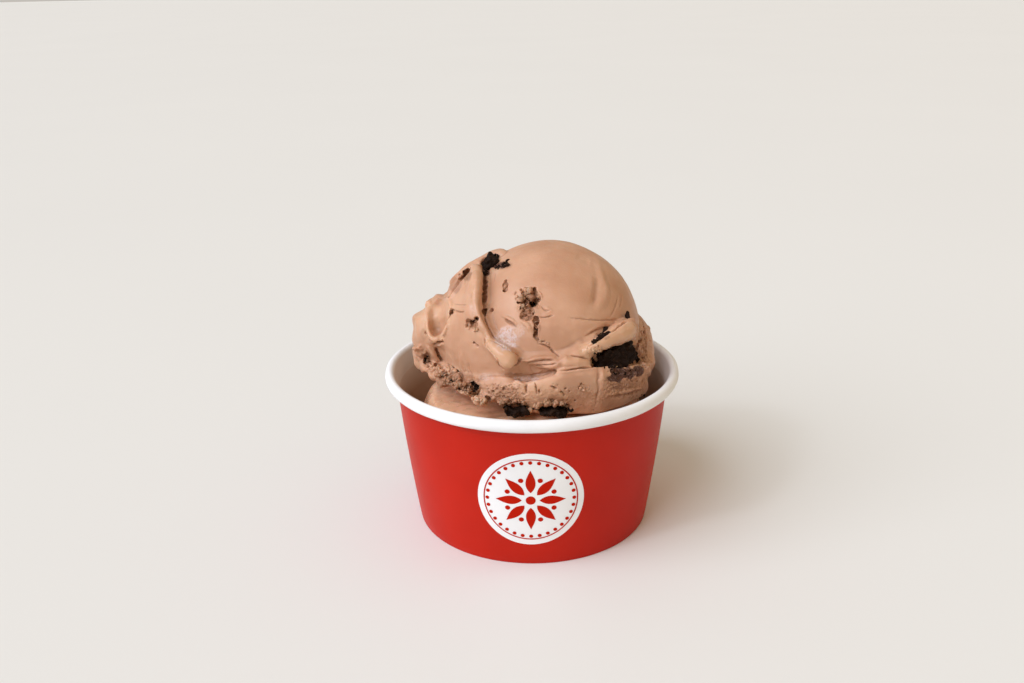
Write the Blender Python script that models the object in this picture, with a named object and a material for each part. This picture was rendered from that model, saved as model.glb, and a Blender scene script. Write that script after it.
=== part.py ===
"""A scoop of chocolate ice cream with dark cookie chunks, in its red paper cup.

The ball was pressed from left to right by the scoop's bowl: a layer laps over its
left side and ends in a standing fold, a ragged skirt runs round its foot, and a
tongue of ice cream lies over a cookie chunk on the right. Lengths are given in
millimetres and turned into metres by MM. The origin is at the middle of the cup's
foot, +Z is up and -Y is the front.
"""
import math

import bmesh
import bpy
from mathutils import Euler, Matrix, Vector, noise

MM = 0.001

# Paper cup
CUP_HEIGHT = 52.4
FOOT_RADIUS = 38.6
WALL_TOP_RADIUS = 44.6
WALL_CURVE = 1.3
WALL = 0.45
HEM_HEIGHT = 6.0
HEM_THICKNESS = 1.3
HEM_CORNER = 0.35
RIM_CENTRE_RADIUS = 46.45
RIM_HALF_WIDTH = 1.55
RIM_HALF_HEIGHT = 1.95
RIM_ARC = (-128.0, 180.0)
RIM_STEPS = 11
WALL_ROWS = (20.0, 34.0)
CUP_SEGMENTS = 72
BASE_THICKNESS = 0.5

# Gap kept between separate pieces
GAP = 0.3

# Ball of ice cream
BALL_CENTRE = (5.8, 0.0, 63.5)
BALL_RADIUS = 29.15
FOOT_OF_SCOOP = 47.2
FOOT_CUTTER_SIZE = 120.0

# Layer lapped over the ball's left side; its edge is given as (height, x)
LAYER_CENTRE = (-4.0, 0.0, 64.5)
LAYER_RADII = (26.2, 29.5, 26.2)
FRONT_EDGE = ((92, -15.4), (86.6, -15.7), (83.3, -15.2), (79.4, -15.4), (75.3, -14.6),
              (71.4, -12.8), (68.6, -9.5), (64.8, -5.5), (61.5, -1.0), (58.0, 7.0))
BACK_EDGE = ((92, -8.0), (84, -12.0), (76, -9.0), (68, -13.0), (60, -8.0), (54, -3.0))
EDGE_STEP = 1.6
LAYER_TUCK = 0.72

# Skirt round the ball's foot, one row for every (bearing, radius, lip height, bottom height);
# the bearing is in degrees from the front towards the right
SKIRT = ((-180, 35.2, 58.5, 49.5), (-150, 36.8, 57.5, 50.5), (-120, 38.8, 58.5, 51.5),
         (-100, 40.6, 58.0, 51.5), (-83, 40.2, 56.5, 52.0), (-66, 38.4, 56.0, 51.4),
         (-48, 36.6, 56.8, 51.2), (-31, 35.8, 58.9, 50.4), (-14, 34.6, 58.8, 48.6),
         (3, 34.4, 61.6, 47.8), (21, 34.5, 63.0, 46.6), (37, 34.6, 61.6, 46.6),
         (57, 35.1, 58.8, 46.6), (72, 34.6, 56.6, 46.8), (95, 34.6, 57.5, 47.8),
         (125, 36.0, 59.5, 49.0), (155, 35.2, 60.0, 50.0))
SKIRT_INSIDE = 18.0
SKIRT_ROOT = 2.0
GROOVE_RADIUS = 29.0
GROOVE_DEPTH = 4.2
SKIRT_COLUMNS = 144
# Section of its outer face: (inset from the radius, share of the way up to the lip, rise)
SKIRT_SECTION = ((3.4, 0.0, -0.6), (1.2, 0.0, 0.6), (0.2, 0.5, -1.5), (-0.2, 0.5, 1.5),
                 (0.0, 1.0, -1.2), (0.9, 1.0, 0.0), (2.0, 1.0, -0.5))
# Unevenness of its radius and of its foot: (size, waves)
SKIRT_WAVE = (0.5, 6.3)
SKIRT_FOOT_WAVE = (0.7, 13.2)

# Lumps: (centre, radii, turn in degrees)
LUMPS = (
    ((31.5, 3.0, 56.5), (8.6, 14.0, 12.0), (0, 0, 0)),
    ((-31.4, -1.5, 64.0), (8.0, 9.5, 10.6), (0, -8, 0)),
    ((-35.6, 0.5, 56.5), (3.6, 5.0, 5.5), (0, 10, 0)),
    ((-29.0, 9.0, 58.5), (8.0, 9.0, 9.0), (0, 0, 0)),
    ((-26.5, 3.0, 71.5), (5.6, 6.5, 6.0), (0, 0, 0)),
    ((2.0, 26.5, 58.0), (19.0, 8.0, 7.0), (0, 0, 8)),
    ((21.0, 19.0, 67.5), (9.0, 8.0, 7.0), (20, 0, -30)),
)

# Folds and fingers: rows of (x, y, z, radius)
FOLDS = (
    # Standing edge of the lapped layer
    ((-17.6, -4.6, 86.2, 2.1), (-17.4, -12.4, 83.4, 2.5), (-17.6, -17.8, 79.2, 2.6),
     (-16.9, -21.8, 74.8, 2.5), (-15.0, -24.8, 71.2, 2.1), (-13.0, -26.6, 69.0, 1.8)),
    # Finger that the fold ends in
    ((-11.8, -28.0, 68.7, 2.2), (-9.0, -29.2, 66.8, 2.9), (-6.7, -29.9, 65.3, 3.2)),
    # Rim of the sheet behind the fold, high on the left
    ((-15.4, 1.0, 86.6, 1.8), (-19.6, 0.6, 84.0, 1.9), (-23.4, 0.0, 80.4, 1.9),
     (-26.2, -1.0, 75.6, 1.8), (-28.0, -2.0, 71.5, 1.6)),
    # Tongue over the chunk on the right
    ((5.5, -30.0, 63.6, 1.0), (8.9, -30.4, 64.8, 1.4), (15.4, -28.9, 66.7, 2.1),
     (21.5, -25.8, 68.7, 2.4), (26.9, -21.2, 69.8, 2.9), (29.8, -17.6, 69.2, 3.5)),
    # Smaller fold between the tongue and the skirt
    ((5.0, -30.4, 62.6, 1.0), (9.0, -30.9, 63.5, 1.5), (13.0, -30.3, 64.4, 1.7),
     (17.0, -28.8, 64.4, 1.4)),
    # Curled lip of the lobe on the far left
    ((-33.4, -5.5, 72.4, 1.1), (-33.0, -8.4, 68.4, 1.2), (-31.4, -11.2, 65.2, 1.3),
     (-29.0, -13.0, 64.3, 1.3), (-26.8, -14.4, 66.2, 1.3), (-25.6, -14.8, 70.0, 1.3),
     (-25.2, -12.6, 74.6, 1.2)),
    # Thin layers above the groove in front
    ((-2.5, -29.4, 64.4, 1.0), (1.5, -30.0, 64.7, 1.1), (6.0, -30.0, 65.2, 1.0)),
    # Standing edge at the back
    ((-12.0, 12.0, 84.6, 1.8), (-13.6, 17.0, 81.4, 2.4), (-11.6, 24.0, 76.0, 2.6),
     (-14.6, 27.0, 69.0, 2.6), (-10.4, 29.6, 62.0, 2.8)),
    # Tongue at the back
    ((-2.0, 29.6, 64.0, 1.4), (6.0, 30.4, 67.0, 2.2), (14.0, 28.2, 70.0, 2.8),
     (20.4, 22.4, 72.6, 3.2)),
)

# Hollows: (centre, radii, turn in degrees)
HOLLOWS = (
    ((-0.2, -23.2, 81.0), (3.0, 2.2, 2.2), (0, 0, 0)),
    ((1.4, -24.6, 78.6), (3.0, 2.2, 2.0), (0, 20, 0)),
    ((-2.0, -24.6, 77.8), (2.0, 1.6, 2.2), (0, 0, 0)),
    ((-29.4, -12.8, 69.8), (3.0, 4.8, 4.8), (0, -6, 0)),
    ((-17.9, -23.4, 73.9), (1.6, 1.7, 1.7), (0, 0, 0)),
    ((-13.2, -18.6, 76.4), (1.3, 1.6, 1.4), (0, 0, 0)),
    ((-7.9, -16.4, 83.8), (1.0, 1.4, 1.7), (0, 0, 0)),
    ((4.0, 27.6, 76.0), (3.4, 2.6, 3.0), (0, 0, 0)),
    ((-22.0, 23.0, 63.0), (2.4, 2.2, 3.2), (0, 0, 20)),
)

# Clefts: rows of (x, y, z, radius)
CLEFTS = (
    # Beside the standing fold
    ((-13.6, -9.0, 86.4, 0.8), (-13.4, -13.4, 83.2, 1.0), (-13.6, -17.6, 79.0, 1.0),
     (-13.0, -21.4, 75.0, 1.0), (-11.4, -24.6, 71.6, 0.8), (-8.6, -27.6, 69.2, 0.6)),
    # Behind the fold's sheet, high on the left
    ((-17.6, -3.0, 87.0, 1.6), (-20.7, -4.0, 84.4, 1.7), (-23.1, -5.0, 81.8, 1.5),
     (-25.8, -7.0, 77.6, 1.1)),
    # Crack below the crater
    ((0.8, -26.0, 74.9, 1.1), (1.0, -27.0, 72.6, 1.1), (1.8, -27.8, 70.2, 1.0)),
    # Under the tongue
    ((10.0, -29.4, 66.8, 0.7), (17.0, -26.6, 69.6, 0.9), (23.0, -22.4, 71.6, 1.0),
     (29.0, -15.4, 73.2, 0.8)),
    # Between the tongue's small fold and the skirt
    ((2.0, -32.2, 61.8, 0.6), (9.0, -33.0, 62.6, 0.8), (17.0, -31.0, 63.0, 0.8)),
    # Joints of the skirt
    ((20.4, -31.9, 63.4, 1.0), (20.4, -32.2, 57.0, 1.0), (20.0, -31.8, 50.0, 1.0)),
    ((38.2, -11.6, 58.0, 1.3), (38.9, -11.6, 53.0, 1.5), (38.6, -11.4, 45.0, 1.5)),
    # Beside the back edge
    ((-8.6, 14.0, 85.6, 0.8), (-9.6, 19.0, 82.0, 1.1), (-7.4, 26.0, 75.4, 1.1),
     (-10.2, 28.8, 68.6, 1.0)),
)

# Crumbly edge under the layer, on the left: rows of (x, y, z)
CRUMB_EDGE = ((-36.6, 0.5, 53.4), (-35.6, -5.5, 53.4), (-32.6, -11.5, 52.8),
              (-28.4, -17.2, 52.4), (-23.2, -24.2, 53.2), (-18.4, -28.4, 52.6),
              (-14.4, -31.2, 51.4))
CRUMBS_PER_STEP = 5
CRUMB_RADIUS = 1.5
CRUMB_SPREAD = 3.2
CRUMB_SHAPE = (1.0, 0.9, 0.8)
CRUMB_SIZE_SPREAD = 0.5
CRUMBS_SIDE_BY_SIDE = 2

# Grain of the ice cream's solid
VOXEL = 0.75
SMOOTH_ROUNDS = 3
SCOOP_TRIANGLES = 7400

# Lower scoop, pressed into the cup: (height, radius, y of its middle)
LOWER_ROWS = ((26.0, 41.1, 0.0), (34.0, 38.0, -3.8), (40.0, 36.6, -5.6),
              (44.0, 34.8, -7.6), (46.2, 32.6, -8.8))
LOWER_MIDDLE = 18.0
LOWER_TOP = 46.8
LOWER_BEVEL = 1.0
LOWER_SEGMENTS = 56
# Its free side is uneven from the first height up, and fully so from the second
LOWER_FREE = (26.0, 40.0)
LOWER_WAVE = (0.7, 2.4)

# Cookie chunks: (name, centre, radii, turn in degrees, seed, fineness)
CHUNKS = (
    ("chunk_right", (25.0, -21.2, 62.4), (8.9, 4.2, 4.2), (0, -4, 33), 3.1, 3),
    ("chunk_upper_right", (22.6, -22.2, 71.0), (3.8, 2.0, 1.7), (0, -14, 38), 9.7, 2),
    ("chunk_top_left", (-12.6, -1.6, 86.4), (2.7, 3.0, 3.5), (0, 16, 0), 5.3, 2),
    ("chunk_front_left", (-4.8, -32.4, 49.6), (4.2, 3.2, 1.8), (0, 0, -8), 7.9, 2),
    ("chunk_front_right", (7.0, -32.8, 49.5), (4.6, 3.2, 1.7), (0, 0, 3), 2.3, 2),
    ("chunk_back", (21.0, 25.6, 64.0), (5.4, 3.4, 4.2), (10, 0, -38), 6.1, 2),
    ("chunk_back_left", (-20.4, 21.4, 72.0), (3.6, 3.0, 3.0), (0, 20, 30), 8.4, 2),
)
CHUNK_ROUGHNESS = 0.34
CHUNK_WAVES = 1.9
CHUNK_SQUARENESS = 0.33

COLOURS = {
    "paper_red": ((0.52, 0.035, 0.016), 0.28),
    "paper_white": ((0.86, 0.84, 0.80), 0.42),
    "ice_cream": ((0.40, 0.20, 0.125), 0.45),
    "cookie": ((0.012, 0.008, 0.007), 0.62),
}


def metres(x, y, z):
    return Vector((x, y, z)) * MM


def smoothstep(t):
    t = min(max(t, 0.0), 1.0)
    return t * t * (3.0 - 2.0 * t)


def along(rows, t):
    """Value at t of a line through (t, value) rows, taken in either order."""
    rows = sorted(rows)
    if t <= rows[0][0]:
        return rows[0][1]
    for (t0, v0), (t1, v1) in zip(rows, rows[1:]):
        if t <= t1:
            return v0 + (v1 - v0) * (t - t0) / (t1 - t0)
    return rows[-1][1]


def material(name):
    made = bpy.data.materials.get(name)
    if made is None:
        colour, roughness = COLOURS[name]
        made = bpy.data.materials.new(name)
        made.use_nodes = True
        shader = made.node_tree.nodes["Principled BSDF"]
        shader.inputs["Base Color"].default_value = (*colour, 1.0)
        shader.inputs["Roughness"].default_value = roughness
        shader.inputs["Metallic"].default_value = 0.0
        made.diffuse_color = (*colour, 1.0)
    return made


def object_from(bm, name, material_name=None):
    """New object from a bmesh, smooth shaded, with the named material."""
    bmesh.ops.recalc_face_normals(bm, faces=bm.faces)
    mesh = bpy.data.meshes.new(name)
    bm.to_mesh(mesh)
    bm.free()
    mesh.shade_smooth()
    if material_name:
        mesh.materials.append(material(material_name))
    made = bpy.data.objects.new(name, mesh)
    bpy.context.scene.collection.objects.link(made)
    return made


def helper_from(bm, name, collection=None):
    """Cutter or guide: not part of the finished object."""
    made = object_from(bm, name)
    made.hide_render = True
    made.display_type = "WIRE"
    if collection:
        collection.objects.link(made)
    return made


def add_blob(bm, centre, radii, turn=(0, 0, 0), fineness=4):
    """Ellipsoid added to the bmesh; returns its vertices."""
    angles = Euler([math.radians(a) for a in turn])
    place = Matrix.Translation(metres(*centre)) @ angles.to_matrix().to_4x4()
    place = place @ Matrix.Diagonal((*[r * MM for r in radii], 1.0))
    made = bmesh.ops.create_icosphere(bm, subdivisions=fineness, radius=1.0, matrix=place)
    return made["verts"]


def smooth_path(rows, steps):
    """Points of a Catmull-Rom curve through the rows, steps to each stretch."""
    rows = [Vector(row) for row in rows]
    padded = [2 * rows[0] - rows[1], *rows, 2 * rows[-1] - rows[-2]]
    points = []
    for a, b, c, d in zip(padded, padded[1:], padded[2:], padded[3:]):
        for step in range(steps):
            t = step / steps
            points.append(0.5 * (2 * b + (c - a) * t + (2 * a - 5 * b + 4 * c - d) * t * t
                                 + (3 * b - a - 3 * c + d) * t ** 3))
    points.append(rows[-1])
    return points


def add_strand(bm, rows, steps=7):
    """Round-ended roll of changing thickness along rows of (x, y, z, radius)."""
    for x, y, z, radius in smooth_path([Vector(row) for row in rows], steps):
        add_blob(bm, (x, y, z), (radius, radius, radius), fineness=2)


def add_layer(bm):
    """Ice cream lapped over the ball's left side, tucked into the ball past its edges."""
    centre = metres(*LAYER_CENTRE)
    for vert in add_blob(bm, LAYER_CENTRE, LAYER_RADII, fineness=6):
        edges = FRONT_EDGE if vert.co.y < 0 else BACK_EDGE
        past = vert.co.x / MM - along(edges, vert.co.z / MM)
        tuck = 1.0 - (1.0 - LAYER_TUCK) * smoothstep(past / EDGE_STEP)
        vert.co = centre + (vert.co - centre) * tuck


def skirt_row(bearing):
    """Radius, lip height and bottom height of the skirt at a bearing in degrees."""
    rows = [(row[0] - 360, *row[1:]) for row in SKIRT[-2:]] + list(SKIRT)
    rows += [(row[0] + 360, *row[1:]) for row in SKIRT[:2]]
    return [along([(row[0], row[i]) for row in rows], bearing) for i in (1, 2, 3)]


def add_skirt(bm):
    """Ring round the foot of the ball: a steep outer face, a lip and a groove inside it."""
    columns = []
    for index in range(SKIRT_COLUMNS):
        bearing = -180.0 + 360.0 * index / SKIRT_COLUMNS
        radius, lip, bottom = skirt_row(bearing)
        angle = math.radians(bearing)
        out = Vector((math.sin(angle), -math.cos(angle), 0.0))
        radius += SKIRT_WAVE[0] * noise.noise(out * SKIRT_WAVE[1])
        bottom += SKIRT_FOOT_WAVE[0] * noise.noise(out * SKIRT_FOOT_WAVE[1])
        profile = [(SKIRT_INSIDE, bottom - SKIRT_ROOT)]
        profile += [(radius - inset, bottom + (lip - bottom) * share + rise)
                    for inset, share, rise in SKIRT_SECTION]
        profile += [(GROOVE_RADIUS, lip - GROOVE_DEPTH), (SKIRT_INSIDE, lip - GROOVE_DEPTH)]
        axis = Vector((BALL_CENTRE[0], BALL_CENTRE[1], 0.0))
        columns.append([bm.verts.new((axis + out * r + Vector((0, 0, z))) * MM) for r, z in profile])
    for one, two in zip(columns, columns[1:] + columns[:1]):
        for a, b, c, d in zip(one, one[1:] + one[:1], two[1:] + two[:1], two):
            bm.faces.new((a, b, c, d))


def add_crumb_edge(bm):
    """Broken crumbs along the lower edge of the lapped layer."""
    path = smooth_path([Vector(row) for row in CRUMB_EDGE], CRUMBS_PER_STEP)
    for index, point in enumerate(path):
        seed = Vector((index * 3.7, 1.3, 8.1))
        for part in range(CRUMBS_SIDE_BY_SIDE):
            shake = noise.noise_vector(seed + Vector((0, part * 5.1, 0))) * CRUMB_SPREAD
            uneven = CRUMB_SIZE_SPREAD * noise.noise(seed + Vector((2.2, part, 0)))
            size = CRUMB_RADIUS * (1.0 + uneven)
            add_blob(bm, point + shake, [size * share for share in CRUMB_SHAPE], fineness=2)


def cut(made, operand, name, collection=False):
    """Boolean difference, kept as a modifier."""
    modifier = made.modifiers.new(name, "BOOLEAN")
    modifier.operation = "DIFFERENCE"
    modifier.solver = "EXACT"
    if collection:
        modifier.operand_type = "COLLECTION"
        modifier.collection = operand
    else:
        modifier.object = operand


def remesh(made, name):
    modifier = made.modifiers.new(name, "REMESH")
    modifier.mode = "VOXEL"
    modifier.voxel_size = VOXEL * MM
    modifier.adaptivity = 0.0
    modifier.use_smooth_shade = True


def evaluated_faces(made):
    graph = bpy.context.evaluated_depsgraph_get()
    mesh = bpy.data.meshes.new_from_object(made.evaluated_get(graph))
    triangles = sum(len(face.vertices) - 2 for face in mesh.polygons)
    bpy.data.meshes.remove(mesh)
    return triangles


def make_scoop(sockets):
    bm = bmesh.new()
    add_blob(bm, BALL_CENTRE, (BALL_RADIUS,) * 3, fineness=6)
    add_layer(bm)
    add_skirt(bm)
    for centre, radii, turn in LUMPS:
        add_blob(bm, centre, radii, turn)
    for rows in FOLDS:
        add_strand(bm, rows)
    add_crumb_edge(bm)
    scoop = object_from(bm, "ice_cream_scoop", "ice_cream")
    remesh(scoop, "fuse the lumps")

    bm = bmesh.new()
    for centre, radii, turn in HOLLOWS:
        add_blob(bm, centre, radii, turn, fineness=3)
    for rows in CLEFTS:
        add_strand(bm, rows)
    hollows = helper_from(bm, "hollows")
    remesh(hollows, "fuse the hollows")
    cut(scoop, hollows, "open the hollows")
    remesh(scoop, "even out the mesh")

    soften = scoop.modifiers.new("soften", "SMOOTH")
    soften.factor = 0.5
    soften.iterations = SMOOTH_ROUNDS
    ratio = SCOOP_TRIANGLES / evaluated_faces(scoop)
    fewer = scoop.modifiers.new("fewer faces", "DECIMATE")
    fewer.ratio = ratio
    cut(scoop, sockets, "sockets of the chunks", collection=True)
    return scoop


def chunk_mesh(bm, radii, seed, fineness, margin=0.0):
    """Broken cookie: a squarish lump with pits, about its own centre."""
    made = bmesh.ops.create_icosphere(bm, subdivisions=fineness, radius=1.0)["verts"]
    for vert in made:
        p = vert.co.copy()
        square = max(abs(c) for c in p)
        p *= 1.0 + CHUNK_SQUARENESS * (1.0 / square - 1.0)
        rough = noise.noise(vert.co * CHUNK_WAVES + Vector((seed, 0, 0)))
        p *= 1.0 + CHUNK_ROUGHNESS * rough
        vert.co = Vector([c * r * MM for c, r in zip(p, radii)])
    bm.normal_update()
    if margin:
        moves = [vert.normal * margin * MM for vert in made]
        for vert, move in zip(made, moves):
            vert.co += move


def make_chunks(sockets):
    for name, centre, radii, turn, seed, fineness in CHUNKS:
        angles = Euler([math.radians(a) for a in turn])
        for margin in (0.0, GAP + 0.1):
            bm = bmesh.new()
            chunk_mesh(bm, radii, seed, fineness, margin)
            if margin:
                piece = helper_from(bm, "socket_" + name, sockets)
            else:
                piece = object_from(bm, name, "cookie")
            piece.location = metres(*centre)
            piece.rotation_euler = angles


def make_foot_cutter(sockets):
    """Box that cuts the scoop flat where it lies on the lower scoop."""
    bm = bmesh.new()
    place = Matrix.Translation(metres(0, 0, FOOT_OF_SCOOP - FOOT_CUTTER_SIZE / 2))
    bmesh.ops.create_cube(bm, size=FOOT_CUTTER_SIZE * MM, matrix=place)
    helper_from(bm, "foot_cutter", sockets)


def wall_radius(height):
    """Outer radius of the cup's side wall, which flares a little less towards the rim."""
    share = 1.0 - (1.0 - height / CUP_HEIGHT) ** WALL_CURVE
    return FOOT_RADIUS + (WALL_TOP_RADIUS - FOOT_RADIUS) * share


def turned(bm, profile, segments):
    """Closed ring turned from a closed profile of (radius, height) points."""
    columns = []
    for index in range(segments):
        angle = 2.0 * math.pi * index / segments
        columns.append([bm.verts.new((r * MM * math.cos(angle), r * MM * math.sin(angle), z * MM))
                        for r, z in profile])
    for one, two in zip(columns, columns[1:] + columns[:1]):
        for a, b, c, d in zip(one, one[1:] + one[:1], two[1:] + two[:1], two):
            bm.faces.new((a, b, c, d))


def make_cup():
    """Side wall with its rolled rim at the top and its folded hem at the foot."""
    hem_inside = wall_radius(0) - HEM_THICKNESS
    rim_middle = CUP_HEIGHT - RIM_HALF_HEIGHT
    rim_foot = rim_middle - RIM_HALF_HEIGHT
    wall_heights = (HEM_HEIGHT, *WALL_ROWS, rim_foot)
    profile = [(FOOT_RADIUS - HEM_CORNER, 0.0), (FOOT_RADIUS, HEM_CORNER)]
    profile += [(wall_radius(height), height) for height in wall_heights]
    for step in range(RIM_STEPS):
        share = step / (RIM_STEPS - 1)
        angle = math.radians(RIM_ARC[0] + (RIM_ARC[1] - RIM_ARC[0]) * share)
        profile.append((RIM_CENTRE_RADIUS + RIM_HALF_WIDTH * math.cos(angle),
                        rim_middle + RIM_HALF_HEIGHT * math.sin(angle)))
    profile += [(wall_radius(height) - WALL, height) for height in reversed(wall_heights)]
    profile += [(wall_radius(HEM_HEIGHT) - HEM_THICKNESS, HEM_HEIGHT),
                (hem_inside, HEM_CORNER), (hem_inside + HEM_CORNER, 0.0)]
    bm = bmesh.new()
    turned(bm, profile, CUP_SEGMENTS)
    return object_from(bm, "cup_wall", "paper_red")


def make_base():
    """Recessed disc that closes the cup."""
    low = HEM_HEIGHT + GAP
    radius = wall_radius(low) - WALL - GAP
    bm = bmesh.new()
    bmesh.ops.create_cone(bm, cap_ends=True, segments=CUP_SEGMENTS, radius1=radius * MM,
                          radius2=radius * MM, depth=BASE_THICKNESS * MM,
                          matrix=Matrix.Translation(metres(0, 0, low + BASE_THICKNESS / 2)))
    return object_from(bm, "cup_base", "paper_white")


def make_lower_scoop():
    """Ice cream pressed into the cup, rounded off below the rim and flat under the ball."""
    bottom = HEM_HEIGHT + GAP + BASE_THICKNESS + GAP
    fit = WALL + 2.0 * GAP
    rows = [(bottom, wall_radius(bottom) - fit - LOWER_BEVEL, 0.0)]
    rows += [(height, wall_radius(height) - fit, 0.0)
             for height in (bottom + LOWER_BEVEL, LOWER_MIDDLE)]
    rows += list(LOWER_ROWS)
    bm = bmesh.new()
    rings = []
    for height, radius, middle in rows:
        ring = []
        free = smoothstep((height - LOWER_FREE[0]) / (LOWER_FREE[1] - LOWER_FREE[0]))
        for index in range(LOWER_SEGMENTS):
            angle = 2.0 * math.pi * index / LOWER_SEGMENTS
            out = Vector((math.sin(angle), -math.cos(angle), 0.0))
            uneven = free * LOWER_WAVE[0] * (noise.noise(out * LOWER_WAVE[1]) - 0.4)
            ring.append(bm.verts.new((out * (radius + uneven) + Vector((0, middle, height))) * MM))
        rings.append(ring)
    for low, high in zip(rings, rings[1:]):
        for a, b, c, d in zip(low, low[1:] + low[:1], high[1:] + high[:1], high):
            bm.faces.new((a, b, c, d))
    for ring, height, middle in ((rings[0], bottom, 0.0), (rings[-1], LOWER_TOP, LOWER_ROWS[-1][2])):
        tip = bm.verts.new(metres(0, middle, height))
        for a, b in zip(ring, ring[1:] + ring[:1]):
            bm.faces.new((a, b, tip))
    return object_from(bm, "lower_scoop", "ice_cream")


def main():
    for old in list(bpy.data.objects):
        bpy.data.objects.remove(old, do_unlink=True)
    sockets = bpy.data.collections.new("sockets")
    bpy.context.scene.collection.children.link(sockets)
    sockets.hide_render = True
    make_cup()
    make_base()
    make_lower_scoop()
    make_chunks(sockets)
    make_foot_cutter(sockets)
    make_scoop(sockets)


main()
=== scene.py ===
"""Looks of the cup of chocolate ice cream with dark cookie chunks.

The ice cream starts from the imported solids, is remeshed finely and then sculpted:
strands add thin raised edges, strokes press creases and pits into it, and crumbs lie on
it. A stroke on the side that the photograph shows is placed by the photograph's pixels
and lands on the surface where the camera's ray meets it. Lengths are in millimetres
unless a name says otherwise, and MM turns them into metres.
"""
import math
import random
from contextlib import contextmanager

import bmesh
import bpy
import numpy as np
from mathutils import Euler, Matrix, Vector, noise
from mathutils.bvhtree import BVHTree


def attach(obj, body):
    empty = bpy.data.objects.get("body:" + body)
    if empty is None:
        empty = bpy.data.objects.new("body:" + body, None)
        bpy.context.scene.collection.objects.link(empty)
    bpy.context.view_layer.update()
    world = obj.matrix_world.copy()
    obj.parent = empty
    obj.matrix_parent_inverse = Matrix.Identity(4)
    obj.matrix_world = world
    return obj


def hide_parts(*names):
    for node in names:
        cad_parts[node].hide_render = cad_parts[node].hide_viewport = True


MM = 0.001

# Camera of the photograph
IMAGE_WIDTH = 1024
IMAGE_HEIGHT = 683
FOCAL_PIXELS = 1000.0
SENSOR_MM = 36.0
CAMERA_DISTANCE = 340.0
CAMERA_ELEVATION = math.radians(25.25)
CAMERA_AIM_HEIGHT = 26.2
CAMERA_YAW = math.radians(-1.18)
CAMERA_PITCH = math.radians(-5.31)
CAMERA_ROLL = math.radians(0.97)

# Cup
CUP_HEIGHT = 52.4
FOOT_RADIUS = 38.6
WALL_TOP_RADIUS = 44.6
WALL_CURVE = 1.3
WALL = 0.45
HEM_HEIGHT = 6.0
HEM_THICKNESS = 1.3
HEM_CORNER = 0.35
RIM_CENTRE_RADIUS = 46.45
RIM_HALF_WIDTH = 1.55
RIM_HALF_HEIGHT = 1.95
RIM_ARC = (-128.0, 180.0)
RIM_STEPS = 22
CUP_SEGMENTS = 216
SEAM_BEARING = 168.0
SEAM_WIDTH = 7.0
SEAM_STEP = 0.22
SEAM_EDGE = 0.8
WALL_BEND = 0.10
RIM_BEND = 0.06
# Depths below the rim over which the painted shade inside the cup fades to white
SHADE_FADE_DEPTHS = (15.0, 3.0)

# Label printed on the front
LABEL_PIXEL = (530.7, 500.4)
LABEL_RADIUS = 16.45
LABEL_LIFT = 0.06
DOT_RING_RADIUS = 13.3
DOT_RADIUS = 0.62
DOTS = 32
PETALS = 8
PETAL_REACH = (2.7, 10.6)
PETAL_WIDTH = 3.0
THIN_RING = (14.15, 14.35, 14.55)
SPOT_RING_RADIUS = 7.6
SPOT_RADIUS = 0.8
HEART_RADIUS = 1.5

# Ball of the scoop
BALL_CENTRE = np.array((5.8, 0.0, 63.5))
BALL_RADIUS = 29.15
BALL_SNAP = 0.45
POCKET_FILL = 0.2

# Mesh sizes
COARSE_VOXEL = 0.55
FINE_VOXEL = 0.42
CHUNK_VOXEL = 0.3
IN_CUP_VOXEL = 0.9

# Seeds of the random draws
LUMP_SEED = 12
PIT_SEEDS = (21, 22)
CRUMB_SEEDS = (31, 32)

# Raggedness of hollows and of painted marks, and how far out a ray towards the hidden side starts
HOLLOW_RAGGED = 0.5
PAINT_RAGGED = 0.35
RAY_START = 90.0

# Unevenness of the large scoop: (waves per millimetre, seed, height, how much less on the ball)
UNEVEN = ((0.11, 2.0, 0.5, 0.3), (0.42, 5.0, 0.12, 0.09))

# Ice cream in the cup: where it gets uneven (from a height, over a height), how much and its marks;
# the paler mark lightens it all over as painted light
FREE_SURFACE = (28.0, 8.0)
IN_CUP_UNEVEN = ((0.12, 6.0, 0.8), (0.5, 8.0, 0.18))
IN_CUP_SUNK = 0.3
IN_CUP_MARKS = {"melt_and_painted_light": 0.5, "wet": 0.6}

# Cavities of the surface by their scale: (rounds of averaging, depth that counts in full); the colour
# turns them into painted shade in hollows and a painted highlight on ridges
CAVITIES = {"cavity": (8, 0.10), "hollow": (60, 0.45)}

# Nudges in the photograph's plane, in pixels: (x, y, radius, move right, move down)
NUDGES = {
    "ice_cream": ((416, 304, 15, 8, 3), (410, 327, 14, 3, 0), (442, 288, 9, 5, 2),
        (426, 384, 15, 2, -9), (447, 394, 12, 1, -4), (468, 402, 11, 0, -4), (655, 377, 15, -5, 0),
        (443, 293, 7, 3, 3)),
    "cookie_right": ((639, 344, 10, -4, 7), (612, 343, 9, 0, 3), (600, 349, 7, 1, 3)),
    "cookie_upper_right": ((604, 331, 18, -2.5, 3), (612, 327, 8, -3, 3)),
    "cookie_front_left": ((516, 402, 9, -2, 3), (530, 408, 7, -4, 0)),
    "cookie_front_right": ((545, 402, 8, 2, 3), (562, 403, 9, -2, 6), (571, 408, 9, -5, 4)),
}

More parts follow.
